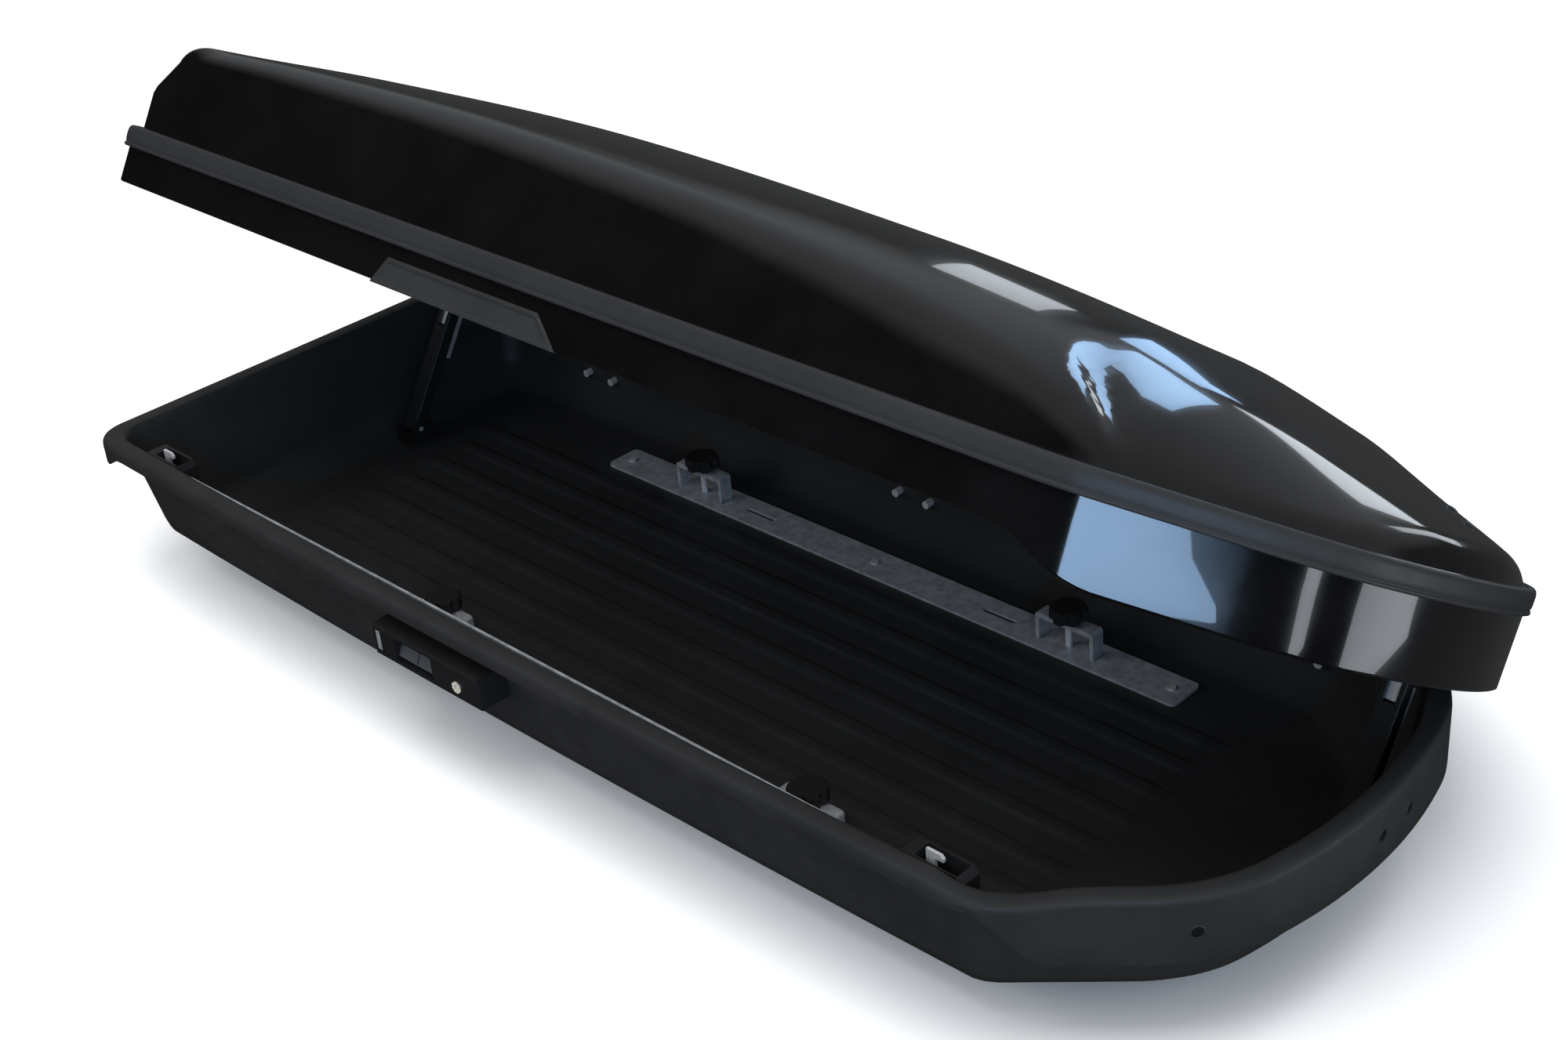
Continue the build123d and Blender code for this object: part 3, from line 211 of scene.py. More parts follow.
LID_OUTER = loop(half_outline(0.0, 0.0, TAIL_CORNER_R))
LID_INNER = loop(half_outline(FAR_INSET, FAR_INSET, 6.0))
LID_DEEP = loop(half_outline(DEEP_INSET, DEEP_INSET, 4.0))
TRAY_OUTER = loop(half_outline(0.0, RIM_TAIL_INSET - RIM_INSET, TRAY_CORNER_R + RIM_INSET))
TRAY_INNER = loop(half_outline(150.0, 150.0 + RIM_TAIL_INSET - RIM_INSET, TRAY_CORNER_R / 2))
TRAY_INNER_INSET = 150.0
COUNT = len(LID_OUTER)


def lid_at(k, inset):
    """Point k of the lid's outline, moved in by inset."""
    if inset <= FAR_INSET:
        return mix(LID_OUTER[k], LID_INNER[k], inset / FAR_INSET)
    return mix(LID_INNER[k], LID_DEEP[k], (inset - FAR_INSET) / (DEEP_INSET - FAR_INSET))


def tray_at(k, inset):
    """Point k of the tray's outline, moved in by inset."""
    return mix(TRAY_OUTER[k], TRAY_INNER[k], inset / TRAY_INNER_INSET)


def opened(points):
    """Points of the shut lid, turned to its open place."""
    points = np.array(points, dtype=float)
    y = points[:, 1] - HINGE_Y
    z = points[:, 2] - HINGE_Z
    c, s = math.cos(OPEN_ANGLE), math.sin(OPEN_ANGLE)
    points[:, 1] = HINGE_Y + c * y + s * z
    points[:, 2] = HINGE_Z - s * y + c * z
    return points


def make_object(name, points, faces, materials, sharp=40.0):
    """Smooth-shaded mesh object from millimetre points."""
    mesh = bpy.data.meshes.new(name)
    mesh.from_pydata([tuple(p) for p in np.array(points) * MM], [], faces)
    mesh.validate()
    for material in materials:
        mesh.materials.append(material)
    mesh.shade_smooth()
    mesh.set_sharp_from_angle(angle=math.radians(sharp))
    made = bpy.data.objects.new(name, mesh)
    bpy.context.scene.collection.objects.link(made)
    return made


def ring_faces(rows, count, closed_rows=False):
    """Quads between rows of count points, each row a closed loop."""
    faces = []
    for r in range(rows if closed_rows else rows - 1):
        s = (r + 1) % rows
        for k in range(count):
            n = (k + 1) % count
            faces.append((r * count + k, r * count + n, s * count + n, s * count + k))
    return faces


# ---------------------------------------------------------------- materials

def node_material(name):
    """New material with its node tree and its shader."""
    material = bpy.data.materials.new(name)
    material.use_nodes = True
    tree = material.node_tree
    return material, tree, tree.nodes["Principled BSDF"]


def texture(tree, kind, scale, **values):
    """Procedural texture on object coordinates."""
    place = tree.nodes.new("ShaderNodeTexCoord")
    made = tree.nodes.new(kind)
    tree.links.new(place.outputs["Object"], made.inputs["Vector"])
    made.inputs["Scale"].default_value = scale
    for key, value in values.items():
        made.inputs[key].default_value = value
    return made


def ramp(tree, source, low, high, low_at=0.3, high_at=0.7):
    """Two-colour ramp fed by a texture."""
    made = tree.nodes.new("ShaderNodeValToRGB")
    made.color_ramp.elements[0].position = low_at
    made.color_ramp.elements[1].position = high_at
    made.color_ramp.elements[0].color = (*low, 1)
    made.color_ramp.elements[1].color = (*high, 1)
    tree.links.new(source, made.inputs["Fac"])
    return made


def add_bump(tree, shader, source, strength, distance):
    """Fine relief on a shader, from a texture."""
    bump = tree.nodes.new("ShaderNodeBump")
    bump.inputs["Strength"].default_value = strength
    bump.inputs["Distance"].default_value = distance
    tree.links.new(source, bump.inputs["Height"])
    tree.links.new(bump.outputs["Normal"], shader.inputs["Normal"])


def plastic(name, base, rough, grain, grain_scale, vary=0.25, coat=0.0, patch_scale=6.0):
    """Moulded plastic: fine grain, soft patches of tone and of gloss."""
    material, tree, shader = node_material(name)
    patches = texture(tree, "ShaderNodeTexNoise", patch_scale, Detail=5.0, Roughness=0.6)
    low = [c * (1 - vary) for c in base]
    high = [c * (1 + vary) for c in base]
    colour = ramp(tree, patches.outputs["Fac"], low, high)
    tree.links.new(colour.outputs["Color"], shader.inputs["Base Color"])
    wear = texture(tree, "ShaderNodeTexNoise", patch_scale * 5, Detail=8.0)
    sheen = ramp(tree, wear.outputs["Fac"], [rough * 0.82] * 3, [min(1.0, rough * 1.2)] * 3)
    tree.links.new(sheen.outputs["Color"], shader.inputs["Roughness"])
    fine = texture(tree, "ShaderNodeTexNoise", grain_scale, Detail=3.0)
    add_bump(tree, shader, fine.outputs["Fac"], grain, 0.0004)
    shader.inputs["Coat Weight"].default_value = coat
    shader.inputs["Coat Roughness"].default_value = 0.03
    return material


METAL_SHARE = 0.55


def metal(name, base, rough, streaks=(6.0, 6.0, 220.0), spangle=0.0):
    """Bare or plated steel with streaks along the part, or zinc spangle."""
    material, tree, shader = node_material(name)
    shader.inputs["Metallic"].default_value = METAL_SHARE
    place = tree.nodes.new("ShaderNodeTexCoord")
    stretch = tree.nodes.new("ShaderNodeMapping")
    stretch.inputs["Scale"].default_value = streaks
    tree.links.new(place.outputs["Object"], stretch.inputs["Vector"])
    lines = tree.nodes.new("ShaderNodeTexNoise")
    lines.inputs["Scale"].default_value = 6.0
    lines.inputs["Detail"].default_value = 6.0
    tree.links.new(stretch.outputs["Vector"], lines.inputs["Vector"])
    source = lines.outputs["Fac"]
    if spangle:
        cells = texture(tree, "ShaderNodeTexVoronoi", 90.0)
        blend = tree.nodes.new("ShaderNodeMix")
        blend.inputs["Factor"].default_value = spangle
        tree.links.new(lines.outputs["Fac"], blend.inputs["A"])
        tree.links.new(cells.outputs["Distance"], blend.inputs["B"])
        source = blend.outputs["Result"]
    colour = ramp(tree, source, [c * 0.75 for c in base], [min(1.0, c * 1.15) for c in base])
    tree.links.new(colour.outputs["Color"], shader.inputs["Base Color"])
    gloss = ramp(tree, source, [rough * 0.7] * 3, [min(1.0, rough * 1.4)] * 3)
    tree.links.new(gloss.outputs["Color"], shader.inputs["Roughness"])
    add_bump(tree, shader, source, 0.25, 0.0003)
    return material


def gloss_lid():
    """Clear-coated black sheet with the slightest ripple and a trace of dust."""
    material, tree, shader = node_material("lid_gloss_black")
    dust = texture(tree, "ShaderNodeTexNoise", 9.0, Detail=9.0, Roughness=0.7)
    colour = ramp(tree, dust.outputs["Fac"], (0.0018, 0.0018, 0.0020), (0.0038, 0.0038, 0.0041))
    tree.links.new(colour.outputs["Color"], shader.inputs["Base Color"])
    rub = ramp(tree, dust.outputs["Fac"], [0.10] * 3, [0.16] * 3)
    tree.links.new(rub.outputs["Color"], shader.inputs["Roughness"])
    ripple = texture(tree, "ShaderNodeTexNoise", 3.2, Detail=1.0)
    add_bump(tree, shader, ripple.outputs["Fac"], 0.06, 0.004)
    shader.inputs["Coat Weight"].default_value = 1.0
    shader.inputs["Coat Roughness"].default_value = 0.015
    shader.inputs["Coat IOR"].default_value = 1.5
    return material


GLOSS = gloss_lid()
LID_INSIDE = plastic("lid_inside_black", (0.014, 0.014, 0.015), 0.48, 0.35, 900.0)
BAND = plastic("band_satin", (0.0185, 0.0190, 0.0205), 0.42, 0.35, 1500.0, 0.10)
TRAY = plastic("tray_grained", (0.0165, 0.0168, 0.0172), 0.50, 0.7, 1100.0, 0.15)
GRIP = plastic("grip_grey", (0.020, 0.0205, 0.021), 0.5, 0.5, 1300.0, 0.10)
BLACK = plastic("housing_black", (0.0085, 0.0086, 0.009), 0.42, 0.4, 1200.0, 0.15)
KNOB = plastic("knob_black", (0.0095, 0.0095, 0.010), 0.38, 0.5, 1400.0, 0.15)
RUBBER = plastic("pad_rubber", (0.012, 0.012, 0.012), 0.82, 0.8, 700.0, 0.2)
LEVER = plastic("lever_grey", (0.040, 0.043, 0.050), 0.42, 0.3, 1300.0, 0.08)
CLEAR = plastic("reflector_bright", (0.16, 0.165, 0.175), 0.16, 0.6, 420.0, 0.10, 1.0)
POWDER = plastic("powder_coat", (0.0090, 0.0090, 0.0095), 0.5, 0.9, 800.0, 0.15)
GALVANISED = metal("galvanised_steel", (0.42, 0.44, 0.47), 0.44, spangle=0.5)
STEEL = metal("bright_zinc", (0.66, 0.66, 0.67), 0.26, (220.0, 6.0, 6.0))
BRASS = metal("key_nickel_brass", (0.86, 0.80, 0.70), 0.24, (60.0, 60.0, 60.0))

SLOT_MATERIALS = {
    "tray_abs": TRAY, "lid_gloss": GLOSS, "band": BAND, "grip": GRIP,
    "galvanised": GALVANISED, "rubber": RUBBER, "black_plastic": BLACK,
    "reflector": CLEAR, "steel": STEEL, "black_metal": POWDER, "lever": LEVER,
    "key": BRASS, "knob": KNOB,
}

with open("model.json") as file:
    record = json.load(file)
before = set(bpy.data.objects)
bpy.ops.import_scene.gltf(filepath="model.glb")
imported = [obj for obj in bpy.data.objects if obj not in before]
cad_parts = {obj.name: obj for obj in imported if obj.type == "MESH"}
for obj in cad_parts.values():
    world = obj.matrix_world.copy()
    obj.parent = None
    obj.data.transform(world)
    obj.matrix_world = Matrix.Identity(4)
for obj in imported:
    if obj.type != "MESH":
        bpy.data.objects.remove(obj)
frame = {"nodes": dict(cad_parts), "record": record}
cad_low, cad_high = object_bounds()

for part in frame["record"]["subparts"]:
    node = frame["nodes"][part["node"]]
    finish = SLOT_MATERIALS[part["material_slot"]]
    if not node.data.materials:
        node.data.materials.append(finish)
    for place in node.material_slots:
        place.material = finish


# ---------------------------------------------------------------- camera

CAMERA_AT = (1.899328, -1.709839, 1.657747)
CAMERA_WAY = (-0.63103163, 0.59455115, -0.49830513)
CAMERA_ROLL = math.radians(-5.0024)
LENS = 51.097

camera_data = bpy.data.cameras.new("camera")
camera_data.sensor_width = 36.0
camera_data.lens = LENS
camera = bpy.data.objects.new("camera", camera_data)
turned = Vector(CAMERA_WAY).to_track_quat("-Z", "Y").to_matrix().to_4x4()
camera.matrix_world = Matrix.Translation(CAMERA_AT) @ turned @ Matrix.Rotation(CAMERA_ROLL, 4, "Z")
bpy.context.scene.collection.objects.link(camera)
bpy.context.scene.camera = camera


# ---------------------------------------------------------------- lid

ROOF = ((-985.5, 346.0), (-959.5, 351.0), (-700.0, 383.0), (-300.0, 400.0), (150.0, 388.0),
        (555.0, 354.0), (700.0, 319.0), (850.0, 272.0), (985.5, 230.0))
BULGE_ROOF = ((-985.5, 346.0), (-959.5, 351.0), (-700.0, 383.0), (-300.0, 400.0),
              (150.0, 388.0), (555.0, 354.0), (700.0, 334.0), (985.5, 275.0))
EDGE_Z = ((-985.5, 336.0), (-955.0, 341.0), (-500.0, 349.0), (0.0, 336.0), (400.0, 298.0),
          (619.0, 262.0), (786.0, 216.0), (985.5, 214.0))
EDGE_LEAN = ((-985.5, 26.0), (-500.0, 40.0), (400.0, 38.0), (786.0, 14.0), (985.5, 10.0))
BULGE_END_X = 555.0
BULGE_END_SWEEP = 231.0
BULGE_HALF = 400.0
BULGE_RUN = 58.0
PANEL_EDGE = ((555.0, 250.0), (700.0, 196.0), (850.0, 120.0), (985.5, 70.0))
CREASE_SLOPE = 0.085
CREASE_SOFT = 5.0
HOOD_EDGE_Z = 216.0
HOOD_POWER = 3.4
ROOF_POWER = 2.6
SHOULDER_ROUND = 46.0
WALL_ROWS = 10
TAIL_KNEE_Z = 264.0
ROUND_ROWS = 12
ROOF_ROWS = 34


def half_width(x):
    """Half the width of the body's outline at x."""
    half = LID_OUTER[:len(LID_OUTER) // 2 + 1]
    if x >= NOSE_X:
        return 1.0
    keep = half[TAIL_STEPS + 1:]
    return float(np.interp(x, keep[:, 0], -keep[:, 1])) - BODY_INSET


def crease_drop(beyond):
    """How far the hood falls away outside its middle panel, beyond the panel's edge."""
    return CREASE_SLOPE * 0.5 * (beyond + math.hypot(beyond, CREASE_SOFT))


def roof_height(x, y):
    """Height of the shut lid's roof, without its side walls."""
    reach = max(half_width(min(x, NOSE_X - 2)) - curve_through(EDGE_LEAN, x), 60.0)
    share = min(abs(y) / reach, 1.15)
    edge = curve_through(EDGE_Z, x)
    spine = curve_through(ROOF, x)
    panel = curve_through(PANEL_EDGE, max(x, BULGE_END_X))
    drop = crease_drop(abs(y) - panel)
    fall = spine - HOOD_EDGE_Z - crease_drop(reach - panel)
    hood = spine - fall * share ** HOOD_POWER - drop
    high = curve_through(BULGE_ROOF, x)
    bulge = high - (high - edge) * share ** ROOF_POWER
    end = BULGE_END_X + BULGE_END_SWEEP * (abs(y) / BULGE_HALF) ** 4
    stay = 1 - smooth((x - end) / BULGE_RUN + 0.5)
    return mix(hood, bulge, stay)


def skirt_edge(x):
    """Lower edge of the lid's skirt at x."""
    start = SIDE_END_X - STEP_BACK
    return mix(SKIRT_Z, NOSE_SKIRT_Z, smooth((x - start) / STEP_RUN))


def lid_column(k):
    """One line of points from the skirt's lower edge to the roof's spine."""
    outer = LID_OUTER[k]
    low = skirt_edge(outer[0])
    at_tail = smooth((TAIL_X + 60 - outer[0]) / 50)
    column = []
    for inset, z in ((0.9, low), (0.15, low + 0.8), (0.0, low + 3), (0.0, 150.0), (0.0, 176.0),
                     (0.0, 198.0), (2.0, 203.0), (6.0, 204.6), (BODY_INSET - 1.2, 205.2)):
        column.append((*lid_at(k, inset), z))
    lean = mix(curve_through(EDGE_LEAN, outer[0]), TAIL_LEAN, at_tail)
    corner = lid_at(k, BODY_INSET + lean)
    height = roof_height(*corner)
    round_in = min(SHOULDER_ROUND, max(12.0, (height - BAND_HIGH) * 0.6))
    round_in = mix(round_in, 30.0, at_tail)
    inner = lid_at(k, BODY_INSET + lean + round_in)
    start = np.array((*lid_at(k, BODY_INSET), BAND_HIGH + 0.5))
    edge = np.array((*corner, height))
    after = np.array((*inner, roof_height(*inner)))
    drop = min(round_in, 0.55 * (height - BAND_HIGH))
    before = mix(edge, start, drop / (height - BAND_HIGH - 0.5))
    for i in range(WALL_ROWS):
        share = i / WALL_ROWS
        spot = mix(start, before, share)
        upright = max(0.0, (spot[2] - TAIL_KNEE_Z) / (before[2] - TAIL_KNEE_Z))
        spot[:2] = mix(start, before, mix(share, upright, at_tail))[:2]
        column.append(tuple(spot))
    for i in range(ROUND_ROWS):
        t = i / ROUND_ROWS
        point = before * (1 - t) ** 2 + edge * 2 * t * (1 - t) + after * t * t
        column.append(tuple(point))
    spine_x = min(max(inner[0], TAIL_X + 330), NOSE_X - 120)
    for i in range(ROOF_ROWS):
        t = (i / (ROOF_ROWS - 1)) ** 1.25
        x = mix(inner[0], spine_x, t)
        y = mix(inner[1], 0.0, t)
        column.append((x, y, roof_height(x, y)))
    return column


def grid_of(columns):
    """Rows of points from columns of points, in the order ring_faces needs."""
    rows = len(columns[0])
    return [columns[k][r] for r in range(rows) for k in range(len(columns))], rows


def weld(made, distance=1e-5):
    """Joins doubled points and turns every face outward."""
    work = bmesh.new()
    work.from_mesh(made.data)
    bmesh.ops.remove_doubles(work, verts=work.verts, dist=distance)
    bmesh.ops.recalc_face_normals(work, faces=work.faces)
    work.to_mesh(made.data)
    work.free()


points, rows = grid_of([lid_column(k) for k in range(COUNT)])
lid = make_object("lid_shell_skin", opened(points), ring_faces(rows, COUNT), (GLOSS, LID_INSIDE), 50.0)
weld(lid)
thick = lid.modifiers.new("wall", "SOLIDIFY")
thick.thickness = LID_WALL * MM * 0.9
thick.offset = -1.0
thick.material_offset = 1
thick.material_offset_rim = 0
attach(lid, "lid")
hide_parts("lid_shell")

BAND_PROFILE = ((0.4, 176.2), (-2.5, 175.2), (-5.6, 175.4), (-6.7, 176.4), (-6.9, 178.0), (-6.7, 179.4),
                (-5.9, 180.3), (-5.4, 181.2), (-5.6, 182.2), (-6.2, 184.0), (-6.5, 188.0),
                (-6.5, 196.0), (-6.0, 200.5), (-4.6, 203.8), (-2.2, 205.6), (0.8, 206.0),
                (3.0, 205.6), (3.6, 204.0), (0.4, 203.0))
columns = [[(*lid_at(k, inset), z) for inset, z in BAND_PROFILE] for k in range(COUNT)]
points, rows = grid_of(columns)
band = make_object("lid_band_strip", opened(points), ring_faces(rows, COUNT, True), (BAND,), 60.0)
weld(band)
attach(band, "lid")
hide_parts("lid_band")


# Grip plate on the near skirt: a tray-shaped panel with a raised border
GRIP_LOW_X = (-345.0, 16.0)
GRIP_HIGH_X = (-322.0, -30.0)
GRIP_Z = (121.0, 158.0)
GRIP_BORDER = 5.0
GRIP_PROUD = 3.0
GRIP_SINK = 1.9
GRIP_STEPS = (60, 22)
GRIP_TURN = 9.0


def side_out(x):
    """How far out the near skirt lies at x."""
    middle = (TAIL_X + SIDE_END_X) / 2
    return WIDTH / 2 + SIDE_BOW * (1 - ((x - middle) / (SIDE_END_X - middle)) ** 2)


def grip_plate():
    """Points and faces of the grip, on the shut lid."""
    points = []
    across, up = GRIP_STEPS
    for j in range(-3, up + 1):
        v = max(j, 0) / up
        z = mix(GRIP_Z[0], GRIP_Z[1], v)
        left = mix(GRIP_LOW_X[0], GRIP_HIGH_X[0], v)
        right = mix(GRIP_LOW_X[1], GRIP_HIGH_X[1], v)
        for i in range(across + 1):
            x = mix(left, right, i / across)
            edge = min(x - left, right - x, z - GRIP_Z[0] + 1, GRIP_Z[1] - z)
            sink = GRIP_SINK * smooth((edge - GRIP_BORDER) / 2.5)
            soft = (GRIP_PROUD - 0.2) * smooth(edge / 1.5 + 0.15)
            out = side_out(x) + 0.15 + soft - sink
            if j < 0:
                out = side_out(x) - GRIP_TURN * (-j) / 3 + 2
            points.append((x, -out, z))
    faces = []
    wide = across + 1
    for j in range(up + 3):
        for i in range(across):
            a = j * wide + i
            faces.append((a, a + 1, a + wide + 1, a + wide))
    return points, faces


points, faces = grip_plate()
grip = make_object("lid_grip_plate", opened(points), faces, (GRIP,), 60.0)
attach(grip, "lid")
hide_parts("lid_grip")


# Two domed rivet caps on the nose
RIVETS = ((74.0, 82.0), (110.0, 108.0))
RIVET_R = 8.0
RIVET_HIGH = 2.6
RIVET_RINGS = 5
RIVET_SIDES = 28


def rivet_caps():
    """Points and faces of both caps, domed over the roof."""
    points, faces = [], []
    for back, y in RIVETS:
        x = NOSE_X - back
        ground = roof_height(x, y)
        base = len(points)
        points.append((x, y, ground + RIVET_HIGH))
        for ring in range(1, RIVET_RINGS + 1):
            t = ring / RIVET_RINGS
            for s in range(RIVET_SIDES):
                a = 2 * math.pi * s / RIVET_SIDES
                px, py = x + RIVET_R * t * math.cos(a), y + RIVET_R * t * math.sin(a)
                lift = RIVET_HIGH * (1 - t ** 4)
                points.append((px, py, roof_height(px, py) + lift - 0.2 * (ring == RIVET_RINGS)))
        for s in range(RIVET_SIDES):
            n = (s + 1) % RIVET_SIDES
            faces.append((base, base + 1 + s, base + 1 + n))
            for ring in range(RIVET_RINGS - 1):
                a = base + 1 + ring * RIVET_SIDES
                b = a + RIVET_SIDES
                faces.append((a + s, b + s, b + n, a + n))
    return points, faces


points, faces = rivet_caps()
caps = make_object("lid_rivet_caps", opened(points), faces, (BLACK,), 60.0)
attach(caps, "lid")
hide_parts("lid_rivets")


# ---------------------------------------------------------------- tray

FLANGE_FROM = SIDE_END_X + 4.0
FLANGE_RUN = 70.0
VALLEY_X = SIDE_END_X + 30.0
VALLEY_HALF = 80.0
VALLEY_DEEP = 9.0
SCALLOPS_X = (-640.0, -530.0, -418.0, -311.0, 94.0, 210.0, 330.0, 450.0, 570.0)
SCALLOP_HALF = 13.0
SCALLOP_DEEP = 7.0


def rim_low(k):
    """Lower edge of the rim's turned-down lip."""
    x = TRAY_OUTER[k][0]
    low = mix(RIM_LOW, NOSE_FLANGE_LOW, smooth((x - FLANGE_FROM) / FLANGE_RUN))
    for at in SCALLOPS_X:
        low -= SCALLOP_DEEP * smooth(1.6 - abs(x - at) / SCALLOP_HALF)
    return mix(low, TAIL_RIM_LOW, smooth((TAIL_X + 70 - x) / 45))


def rim_high(k):
    """Top of the rim, which dips at the nose's corners."""
    x = TRAY_OUTER[k][0]
    high = mix(RIM_Z, NOSE_RIM_Z + 3, smooth((x - SIDE_END_X) / STEP_BACK))
    dip = max(0.0, 1 - ((x - VALLEY_X) / VALLEY_HALF) ** 2)
    return high - VALLEY_DEEP * dip ** 2


def tray_column(k):
    """One line of points: floor, inner wall, rim, lip, outer wall and underside."""
    top, low = rim_high(k), rim_low(k)
    edge = RIM_INSET
    deck = edge + RIM_WIDTH
    floor_in = FLOOR_INSET + TRAY_WALL
    knuckle = KNUCKLE_INSET + TRAY_WALL
    profile = [
        (floor_in + 34, TRAY_WALL), (floor_in + 8, TRAY_WALL), (floor_in - 1, TRAY_WALL + 1.5),
        (mix(floor_in, knuckle, 0.25), mix(TRAY_WALL, KNUCKLE_Z, 0.22)),
        (mix(floor_in, knuckle, 0.8), mix(TRAY_WALL, KNUCKLE_Z, 0.78)),
        (knuckle - 0.6, KNUCKLE_Z + 5), (knuckle - 2.2, KNUCKLE_Z + 16),
        (mix(knuckle, deck + TRAY_WALL, 0.5), mix(KNUCKLE_Z, top, 0.5)),
        (deck + TRAY_WALL + 1.6, top - 16), (deck + TRAY_WALL, top - 7),
        (deck + 1.0, top - 2.2), (deck - 3.5, top - 0.3), (deck - 7, top),
        (edge + 9, top), (edge + 5, top - 0.7), (edge + 2.0, top - 2.8), (edge + 0.5, top - 6.0),
        (edge, top - 10), (edge, mix(top, low, 0.6)), (edge, low + 2), (edge + 0.6, low + 0.4),
        (edge + 1.8, low), (edge + 3.2, low + 0.6), (edge + TRAY_WALL, low + 3),
        (edge + TRAY_WALL + 0.4, top - 8), (edge + 9, top - TRAY_WALL),
        (deck - 5, top - TRAY_WALL), (deck - 0.5, top - 9),
        (mix(deck, KNUCKLE_INSET, 0.3), mix(top, KNUCKLE_Z, 0.3)),
        (mix(deck, KNUCKLE_INSET, 0.9), mix(top, KNUCKLE_Z, 0.9)),
        (KNUCKLE_INSET + 0.2, KNUCKLE_Z + 4), (KNUCKLE_INSET + 3.0, KNUCKLE_Z - 4),
        (mix(KNUCKLE_INSET, FLOOR_INSET, 0.85), 5.5), (FLOOR_INSET + 2, 1.0),
        (FLOOR_INSET + 8, 0.0), (FLOOR_INSET + 34, 0.0),
    ]
    return [(*tray_at(k, inset), z) for inset, z in profile]


def tray_skin():
    """Tray walls and rim, with its floor and underside filled in."""
    points, rows = grid_of([tray_column(k) for k in range(COUNT)])
    faces = ring_faces(rows, COUNT)
    for first, ribbed in ((0, True), ((rows - 1) * COUNT, False)):
        fill_floor(points, faces, first, ribbed)
    return points, faces


FLOOR_RIBS_Y = (-184.0, -126.0, -63.0, 0.0, 63.0, 126.0, 184.0)
RIB_HALF = 11.0
RIB_HIGH = 3.4
RIB_EDGE = 5.0
RIB_ENDS_X = (-790.0, 640.0)
FLOOR_STEPS = 150


def rib_height(x, y):
    """Height of the floor's long ribs above the floor."""
    near = min(abs(y - at) for at in FLOOR_RIBS_Y)
    ends = min(x - RIB_ENDS_X[0], RIB_ENDS_X[1] - x) / 14
    return RIB_HIGH * smooth((RIB_HALF - near) / RIB_EDGE + 0.5) * smooth(ends)


def fill_floor(points, faces, first, ribbed):
    """Fills the innermost ring with rows of quads from the near side to the far side."""
    half = COUNT // 2
    lines = []
    for k in range(1, half):
        near, far = first + k, first + COUNT - k
        line = [near]
        a, b = np.array(points[near]), np.array(points[far])
        for i in range(1, FLOOR_STEPS):
            spot = mix(a, b, i / FLOOR_STEPS)
            if ribbed:
                spot[2] += rib_height(spot[0], spot[1])
            line.append(len(points))
            points.append(tuple(spot))
        line.append(far)
        lines.append(line)
    for before, after in zip(lines, lines[1:]):
        for i in range(FLOOR_STEPS):
            faces.append((before[i], before[i + 1], after[i + 1], after[i]))
    for end, line in ((first, lines[0]), (first + half, lines[-1])):
        for i in range(FLOOR_STEPS):
            faces.append((end, line[i], line[i + 1]))


points, faces = tray_skin()
tray = make_object("base_tray_skin", points, faces, (TRAY,), 38.0)
weld(tray)
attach(tray, "tray")
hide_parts("base_tray")


# Moulded holes in the nose flange: a soft-edged ring round a flat dark disc, painted shade standing in
# for the inside of the hole
HOLES_Y = (-245.0, 5.0, 64.0, 245.0)
HOLE_Z = 140.0
HOLE_RINGS = ((9.2, 0.0), (8.4, 0.7), (7.4, 0.9), (6.8, 0.4), (6.6, -0.1))
HOLE_SIDES = 32
HOLE_LIFT = 0.1
SHADE_DISC_R = 6.7
SHADE_DISC_LIFT = 0.35
FLANGE_STEP = 4.0


def flange_place(y):
    """Point on the flange's face at y, and the way it faces, in X and Y."""
    half = COUNT // 2
    sign = -1 if y < 0 else 1
    spots = [tray_at(k if sign < 0 else (COUNT - k) % COUNT, RIM_INSET) for k in range(half + 1)]
    spots = [spot for spot in spots if spot[0] > SIDE_END_X]
    spots.sort(key=lambda spot: spot[1])
    ys = [spot[1] for spot in spots]
    xs = [spot[0] for spot in spots]
    x = float(np.interp(y, ys, xs))
    way = np.array((FLANGE_STEP, x - float(np.interp(y + FLANGE_STEP, ys, xs))))
    return np.array((x, y)), way / np.linalg.norm(way)


def flange_holes():
    """Points and faces of the holes' rims and of the dark discs of painted shade inside them."""
    rings, shade_discs = ([], []), ([], [])
    for y in HOLES_Y:
        at, out = flange_place(y)
        side = np.array((-out[1], out[0]))
        base = len(rings[0])
        for radius, proud in HOLE_RINGS:
            for s in range(HOLE_SIDES):
                a = 2 * math.pi * s / HOLE_SIDES
                spot = at + side * radius * math.cos(a) + out * (proud + HOLE_LIFT)
                rings[0].append((*spot, HOLE_Z + radius * math.sin(a)))
        for r in range(len(HOLE_RINGS) - 1):
            for s in range(HOLE_SIDES):
                n = (s + 1) % HOLE_SIDES
                a = base + r * HOLE_SIDES
                b = a + HOLE_SIDES
                rings[1].append((a + s, a + n, b + n, b + s))
        # Flat near-black disc just proud of the flange: painted shade for the hole's inside
        base = len(shade_discs[0])
        for s in range(HOLE_SIDES):
            a = 2 * math.pi * s / HOLE_SIDES
            spot = at + side * SHADE_DISC_R * math.cos(a) + out * SHADE_DISC_LIFT
            shade_discs[0].append((*spot, HOLE_Z + SHADE_DISC_R * math.sin(a)))
        shade_discs[1].append(tuple(range(base, base + HOLE_SIDES)))
    return rings, shade_discs


# Near-black colour for the discs in the holes: painted shade, not a surface of the box
HOLE_SHADE = plastic("hole_shadow", (0.002, 0.002, 0.002), 0.9, 0.1, 600.0)
rings, shade_discs = flange_holes()
for name, (points, faces), finish in (("flange_hole_rims", rings, TRAY),
                                      ("flange_hole_painted_shade", shade_discs, HOLE_SHADE)):
    made = make_object(name, points, faces, (finish,))
    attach(made, "tray")


